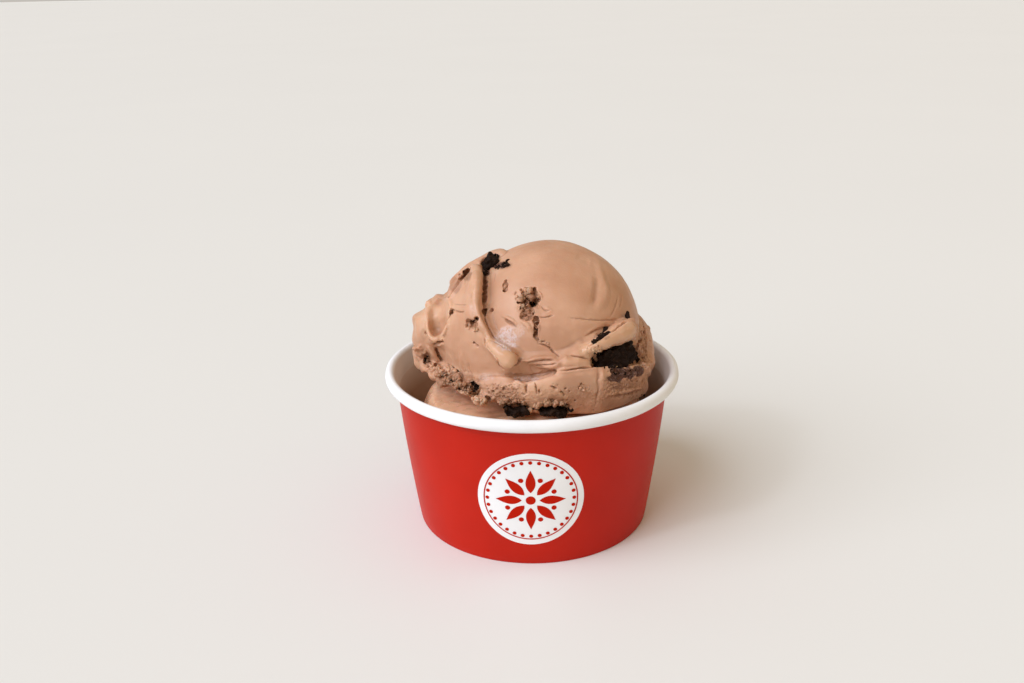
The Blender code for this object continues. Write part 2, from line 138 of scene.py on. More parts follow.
# Raised strands by photograph pixels: rows of (x, y, radius), and how far out the middle lies in radii
STRANDS = {
    "fold": (((476.6, 269.6, 2.1), (475.6, 280, 2.3), (475.8, 292, 2.05), (476, 303, 1.55),
        (478, 312, 1.1), (481.4, 320.6, 0.95), (486, 329.5, 0.9), (489.5, 337, 0.8)), -0.25),
    "finger": (((489.5, 343.5, 1.2), (495, 349, 1.8), (501, 354.6, 2.35), (507.5, 360, 2.75),
        (509.8, 361.6, 2.75)), -0.4),
    "tongue": (((586, 351, 1.1), (596, 346.5, 1.9), (606, 341.4, 2.5), (616, 335.6, 3.0),
        (625, 331.2, 3.4), (630.6, 330.6, 3.3)), -0.5),
    "upper edge of the tongue": (((590, 346, 0.5), (601.3, 341, 0.9), (610.5, 335.4, 1.1),
        (618.2, 329, 1.1), (625.8, 323.4, 0.9), (633, 321, 0.7)), 0.3),
    "corner over the cookie": (((628, 343.6, 0.8), (634, 346, 1.6), (638, 351, 1.4)), 0.5),
    "small fold": (((565, 362.8, 1.3), (574, 362.6, 1.7), (583, 363, 1.7), (591, 363.4, 1.2)),
        -0.3),
    "lip of the far lobe": (((427.6, 322, 0.5), (428, 330, 0.7), (431, 337, 0.85),
        (435.5, 340.3, 0.9), (441, 338.5, 0.85), (445.4, 333, 0.7), (447.5, 325, 0.5)), 0.5),
    "leaf under the lip": (((428.7, 346.8, 0.5), (434, 353.7, 0.85), (439.4, 360.5, 0.8),
        (444, 365, 0.5)), 0.3),
    "first layer": (((521.3, 359.8, 0.45), (527.4, 361, 0.65), (538.2, 358.3, 0.65),
        (553.5, 357.5, 0.5)), 0.25),
    "second layer": (((530, 364, 0.45), (538, 363, 0.6), (549, 363.6, 0.6), (556.5, 361.3, 0.5)),
        0.25),
    "third layer": (((536, 366.8, 0.4), (542.8, 366.6, 0.6), (549, 366.9, 0.65),
        (555.5, 365.4, 0.6), (560.6, 361.6, 0.6), (566, 357.4, 0.6)), 0.2),
    "left lip of the skirt": (((487, 377.8, 0.5), (503, 379, 0.8), (514.4, 381.4, 0.8),
        (523, 384.6, 0.5)), 0.1),
    "long lip of the skirt": (((524, 381.5, 0.5), (545, 377.4, 0.7), (556, 372.8, 0.7),
        (580, 369.4, 0.75), (597, 368.2, 0.6)), 0.1),
    "right lip of the skirt": (((600, 368, 0.6), (618, 366.6, 0.8), (632, 364.6, 0.8),
        (643, 364.8, 0.9), (648, 371, 1.0), (648.8, 382, 0.8)), 0.0),
    "swelling right of the joint": (((602.6, 370, 0.9), (603, 378, 1.2), (602.6, 388, 0.6)), -0.5),
    "ledge of the skirt": (((608, 394.8, 0.45), (623.5, 392.6, 0.6), (632.7, 390, 0.6),
        (643, 387.4, 0.5)), 0.1),
    "edge of the crack": (((521, 321, 0.5), (527, 324.5, 0.95), (531.5, 331, 0.95),
        (532.8, 339, 0.6)), -0.35),
    "flap beside the crater": (((540, 309.5, 1.3), (545, 309.4, 1.7), (551, 311, 1.3)), -0.72),
    "curl over the crater": (((534.6, 291, 0.45), (539, 295, 0.8), (541, 302, 0.6)), -0.1),
    "wrinkle above the tongue": (((581, 336, 0.4), (594, 328.5, 0.8), (606, 324.4, 0.8),
        (622, 320, 0.5)), -0.5),
    "second wrinkle": (((570, 344.5, 0.4), (584, 338, 0.7), (596, 333.5, 0.5)), -0.55),
    "rim of the back sheet": (((446.2, 297, 0.7), (447.4, 290.5, 0.8), (450, 284, 0.85),
        (455.5, 277, 0.85), (462.4, 272, 0.85), (471, 267.6, 0.8), (480, 265, 0.6)), -0.1),
    "edge of the near sheet": (((451.4, 298, 0.6), (458, 288.6, 0.8), (465, 280.6, 0.8),
        (470, 274.4, 0.7)), 0.1),
    "small leaf left of the fold": (((448.5, 297.5, 0.6), (451, 303, 0.8), (451.3, 308.5, 0.6)),
        0.2),
    "crease beside the frost": (((502, 315.6, 0.4), (509, 318.6, 0.7), (516.5, 323.6, 0.5)), -0.2),
}

# Lumps fused with the scoop: (points, spread in pixels, count, radii)
LUMPS = (
    (((420, 347), (419.5, 354), (422, 360)), 2.4, 10, (0.8, 1.6)),
    (((433, 368), (444, 376), (454, 382), (464, 388), (474, 392)), 4.5, 40, (0.65, 1.35)),
    (((474, 399), (479, 400.5), (484, 402)), 1.5, 8, (1.0, 1.5)),
    (((427, 305), (434, 302.6), (441, 302)), 1.2, 10, (0.8, 1.3)),
    (((502, 405), (512, 403), (526, 408)), 1.8, 9, (0.6, 1.2)),
    (((539, 405), (552, 401.6), (567, 406)), 1.8, 10, (0.6, 1.2)),
    (((492, 398), (502, 400)), 4.0, 12, (0.5, 0.9)),
)

# Creases and cracks by photograph pixels: (points, half width, depth)
CREASES = {
    "cleft beside the fold": (((484, 273), (484.8, 285), (484.6, 298), (483.8, 308)), 1.25, 3.2),
    "lower cleft": (((483.4, 308), (485.4, 318), (489.6, 328.8), (495, 338.3)), 0.55, 1.9),
    "slot under the back sheet": (((470.6, 268.6), (467.2, 272.6), (463.4, 277), (460.4, 281.4)),
        1.5, 3.0),
    "upper side of the finger": (((493.6, 340.4), (504.5, 347), (513.7, 352.4), (519.6, 356.4)),
        0.5, 0.9),
    "lower side of the finger": (((485.6, 342), (488.4, 348.8), (495.4, 357), (499.6, 366.4),
        (504, 370)), 0.5, 0.8),
    "end of the finger": (((521.5, 357), (518.6, 363), (512, 369)), 0.8, 1.3),
    "crack below the crater": (((532.6, 315), (539, 321.5), (535, 326.4), (537.4, 331),
        (534.6, 335.4), (537.6, 339.4), (541, 343)), 0.55, 1.4),
    "first branch": (((536.8, 342), (541.2, 341.8), (546, 341.6)), 0.35, 0.9),
    "second branch": (((537, 343), (545.8, 345.8), (552.7, 350.6), (559.6, 357)), 0.42, 0.9),
    "crease of the flap": (((538, 317.5), (546, 317.2), (553.8, 315)), 0.35, 0.6),
    "cracks of the flap": (((541, 306), (545, 310.4), (551, 310)), 0.3, 0.4),
    "hairline of the sheet": (((453.5, 310), (459, 311.4), (464.5, 311.6)), 0.35, 0.8),
    "upper hairline": (((454, 304), (461, 304.6), (467.5, 305)), 0.3, 0.3),
    "seam left of the sheet": (((451.4, 310), (449.6, 315), (447, 320)), 0.45, 1.0),
    "slit under the lip": (((434, 345.6), (438, 343.4), (443, 340)), 0.8, 2.2),
    "slit beside the leaf": (((435, 347.5), (438, 353.7), (442.2, 361.4)), 0.5, 1.4),
    "crack over the crumbs": (((446.3, 363.6), (454, 369), (460.9, 375), (464, 382)), 0.55, 1.2),
    "crack of the skirt": (((526.9, 383), (525.9, 389), (526.7, 394.6)), 0.35, 0.9),
    "second crack of the skirt": (((534.5, 382), (535.9, 386.8), (537, 395.4)), 0.35, 0.8),
    "short crack of the skirt": (((539.2, 389.6), (539.6, 394)), 0.35, 0.7),
    "slit in the skirt": (((550.4, 386.2), (553.6, 387.4), (557, 389.4)), 0.36, 1.0),
    "second slit in the skirt": (((560, 391.5), (562.6, 393), (565.5, 395.6)), 0.36, 1.0),
    "joint of the skirt": (((598, 368), (598.6, 377), (597.6, 382), (598.8, 389), (596.7, 397),
        (596, 406)), 0.6, 0.4),
    "under the ledge": (((609, 397.2), (624, 395), (641, 390.4)), 0.8, 0.45),
    "under the small fold": (((559, 370.4), (571.8, 369.4), (584, 367.8), (593.3, 367)), 0.45, 1.2),
    "over the small fold": (((570, 355.4), (580, 357), (589, 358.8)), 0.4, 0.7),
    "groove above the skirt": (((497, 373), (512, 375.4), (530, 375.6), (547, 372.6),
        (560, 370.4)), 0.9, 0.5),
    "between the layers": (((527, 362.8), (540, 360.8), (556, 359.6)), 0.32, 0.6),
    "between the lower layers": (((536, 365), (548, 365.2), (557, 363.2)), 0.32, 0.6),
    "crease across the ball": (((568, 317.6), (580, 318.6), (592, 319.8), (608, 320.2),
        (624, 319.4)), 0.45, 0.35),
    "crease at the right": (((618.4, 293.6), (616.6, 302.8), (613.6, 311), (610, 317.6)), 0.4,
        0.22),
    "second crease at the right": (((621.6, 293), (621.2, 302), (618.6, 310)), 0.4, 0.18),
    "line under the wrinkle": (((584, 337), (594, 331.4), (606, 327), (617, 323)), 0.45, 0.3),
    "slit above the tongue": (((588, 346.6), (598.3, 339.6), (606, 334), (613, 330.4),
        (622, 323.8), (627.5, 320.4)), 0.5, 1.2),
    "scratch on the ball": (((495.4, 272), (494.6, 277.5), (494, 283.5)), 0.3, 0.2),
    "under the tongue's end": (((641.4, 330), (641.6, 338), (637, 344.6)), 0.6, 1.1),
    "soft line on the layer": (((468.6, 362), (469.6, 370), (473.5, 376)), 0.6, 0.25),
    "crack left of the finger": (((484.6, 338), (484.6, 343), (485.4, 347.5)), 0.35, 0.6),
    "crease over the frost": (((504.5, 319.4), (510.5, 323), (517, 327.4)), 0.5, 0.8),
    "notch at the skirt's end": (((650.2, 376), (649, 388), (644.5, 396.5)), 0.9, 1.3),
    "pit on the layer": (((474.4, 342.8), (478.6, 346.6)), 0.45, 1.0),
}

# Hollows with broken walls by photograph pixels: (x, y, half width, half height, depth)
HOLLOWS = (
    (528.5, 297, 11.5, 10, 1.8), (526.6, 312, 9.5, 9, 1.0), (533, 303.6, 5, 3.6, 1.5),
    (536, 320.6, 4, 4.6, 1.1), (505.4, 286.6, 2.8, 6.4, 0.9), (471.6, 323.4, 6.4, 5.6, 1.1),
    (536, 332, 2.4, 5, 0.8), (474, 388.4, 5, 7.4, 1.3), (633, 349, 4.6, 4.6, 0.5),
    (624, 372.5, 17, 8, 0.45), (513, 409, 10, 5, 1.4), (552, 408, 13, 5, 1.2),
    (484.6, 311.2, 3.4, 3.4, 1.0), (451, 311.4, 2.6, 3.2, 1.0), (644, 341, 4, 14, 0.35),
    (487.4, 400.4, 2.4, 5, 1.0), (584, 387, 5.5, 3.4, 0.3), (426.4, 359.6, 4, 5.6, 1.1),
)

# Bands of broken, crumbly surface by photograph pixels: (points, half width, depth)
CRUMBLY_BANDS = (
    (((432, 367), (444, 375), (455, 381.6), (466, 388), (476, 392)), 3.2, 0.5),
    (((426, 356), (428, 362), (433, 368)), 1.8, 0.3),
    (((500, 406), (514, 405), (526, 408)), 1.6, 0.3),
    (((540, 406), (553, 403), (568, 406)), 1.6, 0.3),
)

# Wide soft dents and swellings by photograph pixels: (points, half width, height)
SWELLINGS = {
    "pale ridge": (((597.5, 257), (600, 270.6), (603.6, 282), (605.9, 290), (603, 301),
        (594.6, 310)), 2.4, 0.45),
    "dent left of it": (((595.8, 276), (596.2, 286), (595.2, 296), (593, 306)), 1.9, -0.45),
    "band under the back sheet": (((464, 277), (457, 283.4), (452, 290), (448.8, 298)), 1.5, -1.1),
    "swelling under the crease": (((572, 323), (590, 324.6), (606, 324)), 2.0, 0.3),
    "dent near the top": (((576, 256), (590, 262)), 4.0, -0.25),
    "streak on the layer": (((461, 349), (461.5, 362), (462.5, 377)), 1.6, 0.25),
    "hollow of the far lobe": (((433, 305), (433.6, 316), (435, 326), (438.5, 335)), 2.3, -1.0),
    "cheek of the far lobe": (((419, 318), (418, 330), (421, 342)), 2.4, 0.4),
    "hollow in front": (((505, 374), (530, 372), (552, 368)), 2.0, -0.3),
    "left of the fold": (((471, 276), (470.4, 290), (471, 303)), 1.8, -0.4),
}

# Pits by photograph pixels: (x, y, radius, depth)
PITS = (
    (484.8, 311.2, 1.1, 2.4), (491.4, 310, 0.8, 1.5), (505.6, 281.6, 0.7, 0.9),
    (504.6, 291.4, 0.6, 1.1), (451, 311, 0.8, 1.8), (476.2, 318.8, 0.85, 1.8),
    (472.3, 322, 0.9, 1.9), (466.4, 325.6, 0.7, 1.3), (474.6, 343, 0.5, 0.9),
    (532, 303.4, 1.5, 2.4), (536.6, 301.6, 0.8, 1.4), (518.6, 302, 0.6, 1.0),
    (521, 289.6, 0.55, 0.9), (534, 289.4, 0.6, 1.1), (526, 288, 0.5, 0.8),
    (533.6, 312.4, 0.6, 1.1), (521.4, 308, 0.5, 0.8), (565.7, 388.9, 0.42, 0.8),
    (569.9, 391.6, 0.35, 0.6), (581.5, 384.4, 0.5, 0.9), (552, 400, 0.4, 0.6),
    (575, 401, 0.4, 0.6), (644.2, 331.5, 0.75, 1.5), (637.4, 347, 0.6, 1.3),
    (645, 339.4, 0.5, 0.9), (643, 358, 0.5, 0.7), (426.4, 361, 1.2, 1.7), (428, 355.6, 0.8, 1.1),
    (425.4, 333, 0.6, 0.7), (435.4, 364.6, 0.8, 1.4), (443.4, 376.4, 0.6, 1.0),
    (452.4, 380.6, 0.7, 1.2), (464, 388.6, 0.7, 1.2), (473, 384, 1.0, 2.0), (476.4, 387, 0.9, 1.8),
    (470.8, 392.7, 0.8, 1.8), (488, 399.6, 1.0, 1.6), (512, 408.4, 1.3, 1.8), (507, 409, 0.9, 1.4),
    (546, 408, 1.0, 1.4), (556, 407.6, 1.0, 1.4), (645.6, 395, 1.1, 1.6), (493, 391.6, 0.5, 0.8),
    (503.6, 389.4, 0.5, 0.8),
)

# Fields of small pits by photograph pixels: (x range, y range, count, radii, depths)
PIT_FIELDS = (
    ((486, 526), (384, 411), 110, (0.25, 0.45), (0.1, 0.35)),
    ((524, 598), (384, 412), 40, (0.2, 0.36), (0.1, 0.25)),
    ((603, 646), (380, 400), 60, (0.22, 0.42), (0.12, 0.35)),
    ((608, 644), (366, 382), 50, (0.3, 0.55), (0.2, 0.5)),
    ((636, 653), (324, 384), 30, (0.25, 0.5), (0.15, 0.4)),
    ((518, 536), (302, 320), 16, (0.25, 0.45), (0.15, 0.4)),
    ((593, 604), (344, 358), 24, (0.18, 0.35), (0.12, 0.35)),
    ((576, 594), (346, 356), 18, (0.18, 0.3), (0.1, 0.25)),
)

# Boxes of the photograph in which the mesh is refined: (x0, y0, x1, y1)
REFINED = (
    (512, 284, 560, 372), (478, 266, 498, 346), (460, 312, 482, 350), (500, 276, 512, 296),
    (408, 296, 470, 380), (484, 338, 524, 372), (436, 362, 654, 416), (556, 350, 600, 372),
    (584, 316, 656, 366), (444, 264, 474, 300), (494, 314, 524, 356),
)

# Marks painted by photograph pixels: (x, y, half width, half height, strength)
PAINT = {
    "frost": (
        (506, 339, 13, 12, 1.0), (517, 331, 9, 8, 0.35), (526, 379, 14, 3, 0.7),
        (486, 377, 8, 4, 0.35),
    ),
    # Brown of broken ice cream, and painted shade in the clefts, slots, pits, crater and cavities at
    # the rim
    "brown_and_painted_shade": (
        (528, 298, 11, 9, 0.8), (527, 312, 8, 8, 0.75), (472, 324, 6, 5, 0.6),
        (458, 382, 24, 9, 0.6), (427, 359, 5, 7, 0.8), (424, 334, 4, 6, 0.35),
        (504, 397, 18, 9, 0.3), (456, 285, 7, 9, 0.5), (467, 275, 5, 6, 0.8),
        (485, 291, 3, 20, 0.8), (633, 349, 6, 5, 0.8), (622, 385, 16, 5, 0.5),
        (643, 346, 6, 16, 0.45), (505.5, 286.5, 3, 6, 0.5), (514, 403, 16, 6, 0.6),
        (553, 402, 18, 6, 0.6), (537, 328, 4, 10, 0.75), (546, 345, 30, 22, 0.2),
        (576, 386, 24, 14, 0.18), (500, 265, 12, 5, 0.5), (474, 388, 7, 9, 0.7),
        (625, 377, 20, 6, 0.6),
    ),
    # Paler on the skirt and on the far lobe: painted light
    "melt_and_painted_light": (
        (545, 393, 26, 14, 0.5), (428, 318, 14, 20, 0.7),
    ),
    # Stains on the skirt beside the cookie, and painted shade in the slot, the cleft, under the
    # finger's end and in the cavities at the rim
    "stain_and_painted_shade": (
        (622, 373, 15, 7, 1.0), (616, 378, 8, 5, 0.8), (639, 371, 6, 6, 0.9),
        (622, 386, 14, 4, 0.45), (643, 397, 7, 7, 0.8), (426, 358, 4, 5, 0.4),
        (474, 387, 4, 6, 0.6), (533, 304, 4, 3, 0.5), (512, 409, 12, 4, 0.9),
        (552, 409, 14, 4, 0.8), (642, 346, 5, 14, 0.3), (602, 337, 9, 4, 0.5),
        (467, 273.6, 4, 5, 0.9), (484.8, 279, 2, 12, 0.6), (500, 265, 11, 4, 0.75),
        (486, 270, 5, 6, 0.8), (597, 362, 6, 6, 0.5), (519, 368, 6, 3, 0.3),
    ),
    "pores": (
        (504, 396, 20, 14, 1.0), (560, 398, 60, 14, 0.4), (625, 384, 24, 16, 0.9),
        (643, 350, 10, 34, 0.7), (527, 308, 12, 14, 0.9), (427, 358, 6, 8, 0.5),
        (458, 383, 27, 16, 0.8), (598, 352, 9, 7, 0.6),
    ),
    "wet": (
        (474, 303, 4, 14, 0.8), (528, 377, 14, 3, 1.0), (432, 330, 10, 14, 0.4),
        (505, 338, 13, 12, 0.5), (586, 362, 22, 6, 0.4), (640, 330, 10, 12, 0.4),
    ),
}

# Marks painted along paths of the photograph: (points, half width in millimetres, strength)
FINGER_PATH = ((490, 343), (499, 352), (509, 361))
TONGUE_PATH = ((588, 350), (604, 342), (620, 333), (632, 330))
PAINTED_PATHS = {
    # Paler melted ice cream along the fold, the lips, the finger and the tongue, partly painted sheen
    "melt_and_painted_light": (
        (((477, 268), (477, 285), (477, 302), (479, 314), (485, 327), (490, 338)), 2.2, 0.3),
        (((428, 324), (432, 338), (441, 338), (446, 328), (450, 312), (450, 302)), 1.2, 0.7),
        (((567, 362), (578, 362), (590, 363)), 1.8, 0.4),
        (((430, 348), (437, 358), (443, 364)), 0.9, 0.6),
        (FINGER_PATH, 3.2, 0.8), (TONGUE_PATH, 3.4, 0.9),
    ),
    "wet": (
        (((477, 272), (477, 302), (480, 316), (490, 338)), 1.6, 0.8),
        (FINGER_PATH, 3.0, 0.9), (TONGUE_PATH, 3.2, 0.9),
    ),
}

# All marks, and those that crumbs take from the surface below them
MARKS = ("frost", "stain_and_painted_shade", "pores", "wet", "depth", "melt_and_painted_light", "crumbly", "brown_and_painted_shade")
CRUMB_MARKS = ("brown_and_painted_shade", "melt_and_painted_light", "pores", "stain_and_painted_shade")

# Crumbs of ice cream by photograph pixels: (points, spread in pixels, count, radii)
CREAM_CRUMBS = (
    (((520, 297), (525, 293), (530, 295), (534, 299)), 2.4, 17, (0.6, 1.4)),
    (((521, 306), (526, 311), (531, 316)), 3.0, 6, (0.3, 0.7)),
    (((434, 367), (442, 373), (450, 379), (459, 385), (468, 390)), 4.0, 46, (0.35, 0.95)),
    (((447, 367), (453, 370), (458, 375)), 2.0, 8, (0.6, 1.1)),
    (((475, 398.5), (480, 400), (484, 401.5)), 1.8, 10, (0.5, 1.1)),
    (((492, 394), (503, 398), (515, 399)), 6.0, 14, (0.25, 0.5)),
    (((468, 325), (473, 328), (477, 330)), 1.6, 8, (0.3, 0.7)),
    (((505.8, 286), (506, 288)), 0.3, 1, (0.7, 0.8)),
    (((580, 388.6), (584, 389)), 1.2, 5, (0.35, 0.75)),
    (((427, 360), (429, 363), (433, 367)), 1.8, 8, (0.4, 0.9)),
    (((632, 347), (636, 352)), 1.6, 8, (0.4, 0.8)),
    (((540, 341), (546, 342), (552, 348)), 1.2, 6, (0.25, 0.45)),
    (((640, 336), (645, 350), (644, 364)), 3.0, 12, (0.25, 0.5)),
    (((630, 344.6), (636, 349)), 1.4, 8, (0.4, 0.8)),
)

# Ice cream smeared over the edges of the cookies, as above
SMEARS = (
    (((501, 403), (507, 400.5), (513, 402.5), (519, 401), (527, 405)), 1.0, 34, (0.35, 0.9)),
    (((537, 406), (543, 402.8), (550, 403.4), (557, 403), (563, 404.6), (571, 407.6)), 1.0, 44,
        (0.35, 0.9)),
    (((531, 408), (530, 413)), 1.0, 6, (0.5, 0.9)),
    (((592, 350), (597, 351), (603, 349.5)), 0.8, 8, (0.3, 0.6)),
)

# Cookie crumbs by photograph pixels, as above
COOKIE_CRUMBS = (
    (((495, 267), (499, 267.5), (504, 264.5), (508.6, 261.6)), 2.4, 26, (0.2, 0.8)),
    (((484, 268), (486, 275)), 1.4, 16, (0.3, 0.7)),
    (((490, 254), (499, 256.5)), 1.6, 16, (0.25, 0.6)),
    (((612, 371), (622, 374), (636, 370)), 2.4, 10, (0.2, 0.5)),
    (((593, 341.6), (600, 337.4), (605, 334.4), (609, 331.6)), 0.7, 34, (0.3, 0.7)),
    (((591, 359), (600, 365.5), (616, 366.5)), 1.4, 24, (0.25, 0.6)),
    (((596, 353), (610, 350), (622, 346)), 1.2, 22, (0.3, 0.7)),
    (((626, 344), (634, 352), (637, 361)), 1.8, 26, (0.3, 0.8)),
    (((473, 383), (477, 387), (471, 392)), 1.6, 16, (0.3, 0.7)),
    (((424, 360), (427, 356)), 1.4, 4, (0.3, 0.5)),
    (((530, 303), (535, 304)), 1.4, 9, (0.25, 0.5)),
    (((499, 407), (506, 409), (526, 408)), 1.8, 18, (0.25, 0.8)),
    (((535, 409), (541, 407), (562, 408), (572, 409)), 2.0, 24, (0.25, 0.8)),
    (((473, 321.5), (476, 319)), 1.0, 6, (0.25, 0.45)),
    (((642, 394), (646, 397)), 1.6, 8, (0.3, 0.6)),
    (((448, 378), (460, 387)), 3.0, 5, (0.25, 0.5)),
)

# The side that the photograph doesn't show, placed by bearing from the front and height
BACK_STRANDS = {
    "lip of the skirt": (((96, 62.5, 0.5), (112, 61, 0.8), (136, 62, 0.8), (152, 60.5, 0.7),
        (166, 61.5, 0.5)), 0.1),
    "second lip": (((172, 62, 0.4), (190, 60, 0.8), (212, 61, 0.8), (228, 59.5, 0.5)), 0.1),
    "leaf": (((204, 78, 0.5), (210, 72, 0.9), (222, 68, 1.0), (232, 67, 0.5)), 0.2),
    "wrinkle": (((104, 74, 0.4), (118, 71.5, 0.8), (134, 71, 0.5)), -0.3),
    "fold": (((156, 88, 0.7), (163, 81, 1.4), (170, 74, 1.6), (173, 68, 1.0)), -0.3),
    "thin edge": (((236, 78, 0.5), (246, 73, 0.8), (258, 70, 0.6)), 0.2),
}
BACK_LUMPS = (
    (((112, 57), (128, 55)), 2.4, 12, (0.6, 1.2)),
    (((226, 58), (240, 60), (252, 57)), 2.6, 20, (0.6, 1.4)),
)
BACK_CREASES = (
    (((150, 78), (158, 70), (160, 62)), 0.5, 1.2), (((196, 84), (204, 76), (206, 68)), 0.5, 1.0),
    (((120, 66), (134, 64), (150, 66)), 0.45, 0.9), (((222, 70), (236, 67), (250, 69)), 0.45, 1.2),
    (((100, 80), (112, 77), (128, 79)), 0.45, 0.3), (((164, 59), (166, 54), (165, 50)), 0.4, 0.9),
    (((228, 59), (229, 54), (227, 50)), 0.4, 0.9), (((104, 59), (105, 54)), 0.35, 0.9),
    (((176, 66), (188, 64.5), (203, 66)), 0.4, 0.7), (((177, 77), (184, 73), (186, 68)), 0.6, 1.6),
    (((140, 83), (143, 78)), 0.3, 0.3), (((128, 86), (146, 88)), 0.4, 0.25),
)
BACK_HOLLOWS = (
    (139, 73, 3.2, 1.3), (189, 70, 2.4, 1.1), (241, 61, 3.4, 1.3), (118, 56, 2.6, 0.7),
    (214, 79, 1.6, 0.9), (160, 55, 2.0, 0.6),
)
BACK_PITS = (
    (140, 73.6, 1.2, 1.8), (143, 71, 0.9, 1.4), (188, 70, 0.9, 1.6), (191, 68, 0.7, 1.2),
    (216, 77, 0.6, 1.2), (240, 62, 1.1, 1.6), (244, 60, 0.8, 1.4), (112, 72, 0.6, 1.2),
    (172, 55, 0.6, 0.9), (206, 56, 0.7, 1.1), (128, 56, 0.6, 0.9), (150, 93, 0.5, 0.9),
)
BACK_PIT_FIELDS = (
    ((98, 164), (50, 60), 150, (0.2, 0.42), (0.12, 0.45)),
    ((168, 262), (50, 59), 160, (0.2, 0.45), (0.12, 0.5)),
    ((232, 256), (57, 68), 50, (0.22, 0.5), (0.2, 0.5)),
    ((132, 147), (69, 77), 40, (0.2, 0.45), (0.2, 0.5)),
)
# Marks as on the front: brown and stain also carry painted shade in hollows, and melt also carries
# painted light
BACK_PAINT = {
    "brown_and_painted_shade": (
        (139, 73, 4.0, 0.8), (189, 70, 3.0, 0.6), (241, 61, 5.0, 0.6), (118, 56, 4.0, 0.4),
        (184, 73, 2.5, 0.5), (214, 79, 2.0, 0.6),
    ),
    "pores": (
        (120, 56, 9.0, 0.8), (200, 55, 12.0, 0.6), (241, 60, 8.0, 0.9),
    ),
    "frost": (
        (178, 82, 4.5, 0.4), (110, 66, 4.0, 0.4),
    ),
    "stain_and_painted_shade": (
        (141, 68, 3.0, 0.7),
    ),
    "wet": (
        (168, 76, 5.0, 0.8), (215, 70, 5.0, 0.7),
    ),
    "melt_and_painted_light": (
        (167, 77, 3.5, 0.4), (218, 69, 3.0, 0.5),
    ),
}
BACK_CRUMBS = (
    (((105, 56), (140, 57), (162, 55)), 3.0, 26, (0.3, 0.7)),
    (((170, 55), (200, 57), (228, 56), (252, 56)), 3.0, 44, (0.3, 0.9)),
    (((136, 75), (140, 72)), 2.0, 12, (0.4, 0.9)),
)
BACK_COOKIE_CRUMBS = (
    (((134, 70), (142, 67)), 2.4, 18, (0.3, 0.7)), (((236, 60), (246, 62)), 2.4, 12, (0.3, 0.6)),
    (((186, 70), (191, 68)), 1.4, 8, (0.25, 0.5)),
)

# Cobbled relief of broken ice cream and of cookie: (waves per millimetre, height)
COBBLES = ((0.62, 1.0), (1.5, 0.4))
COOKIE_LUMPS = ((0.24, 1.0), (0.5, 1.0), (1.2, 0.5), (2.6, 0.22))

# How far the cookies lie inside their solids, and more where ice cream laps over them
COOKIE_SHRINK = 0.2
COVERED_COOKIES = {"chunk_upper_right": 0.5, "chunk_front_left": 0.5, "chunk_front_right": 0.5,
                   "chunk_top_left": 0.45, "chunk_back": 0.4, "chunk_back_left": 0.4}

# Splinter of cookie on the ball
CHIP_PIXEL = (627.2, 318.4)
CHIP_RADII = (0.8, 0.6, 1.9)

# Colours, linear
CREAM_LIGHT = (0.60, 0.342, 0.214)
CREAM_MIDDLE = (0.50, 0.257, 0.148)
# Painted shade for hollows, cavities, pits, creases, pores and the gaps between cobbles
CREAM_PAINTED_SHADE = (0.26, 0.11, 0.052)
# Paler melted ice cream, also used as painted light
CREAM_MELT_AND_PAINTED_LIGHT = (0.64, 0.39, 0.235)
CREAM_FROST = (0.66, 0.50, 0.45)
# Brown of broken ice cream, also painted shade in clefts and slots
CREAM_BROWN_AND_PAINTED_SHADE = (0.27, 0.115, 0.055)
# Dark stain, also painted shade in slots, clefts and cavities
CREAM_STAIN_AND_PAINTED_SHADE = (0.070, 0.026, 0.020)
# Painted highlight on ridges and convex edges
CREAM_PAINTED_HIGHLIGHT = (0.72, 0.45, 0.32)
# Brightening of the ice cream in the cup: painted light
IN_CUP_PAINTED_LIGHT = 1.42
COOKIE_DARK = (0.014, 0.006, 0.003)
COOKIE_LIGHT = (0.070, 0.030, 0.014)
PAPER_RED = (0.50, 0.012, 0.002)
PAPER_WHITE = (0.885, 0.88, 0.87)
# Inside of the cup: painted shade and painted brown reflected light, fading to white at the top
PAPER_INSIDE_PAINTED_SHADE = (0.50, 0.37, 0.28)
FLOOR_COLOUR = (0.80, 0.80, 0.765)

# Light
SUN_FROM = (-0.78, -0.58, 0.80)
SUN_ANGLE = math.radians(55)
SUN_STRENGTH = 2.42
SUN_COLOUR = (0.93, 1.0, 1.15)
GLINT_ANGLE = math.radians(7)
GLINT_STRENGTH = 0.30
ROOM_TURN = (-0.6, 0.8)
ROOM_LEFT = (1.0, 0.96, 0.92)
ROOM_RIGHT = (1.0, 0.74, 0.42)
ROOM_STRENGTH = 0.55


def smoothstep(t):
    t = np.clip(t, 0.0, 1.0)
    return t * t * (3.0 - 2.0 * t)


# Camera

def camera_axes():
    """Camera's place and its right, up and forward directions, in millimetres."""
    level = CAMERA_ELEVATION + CAMERA_PITCH
    place = Vector((0.0, -CAMERA_DISTANCE * math.cos(CAMERA_ELEVATION),
                    CAMERA_AIM_HEIGHT + CAMERA_DISTANCE * math.sin(CAMERA_ELEVATION)))
    forward = Vector((math.sin(CAMERA_YAW) * math.cos(level),
                      math.cos(CAMERA_YAW) * math.cos(level), -math.sin(level)))
    side = Vector((math.cos(CAMERA_YAW), -math.sin(CAMERA_YAW), 0.0))
    upward = side.cross(forward)
    c, s = math.cos(CAMERA_ROLL), math.sin(CAMERA_ROLL)
    return place, side * c - upward * s, side * s + upward * c, forward


EYE, RIGHT, UP, FORWARD = camera_axes()


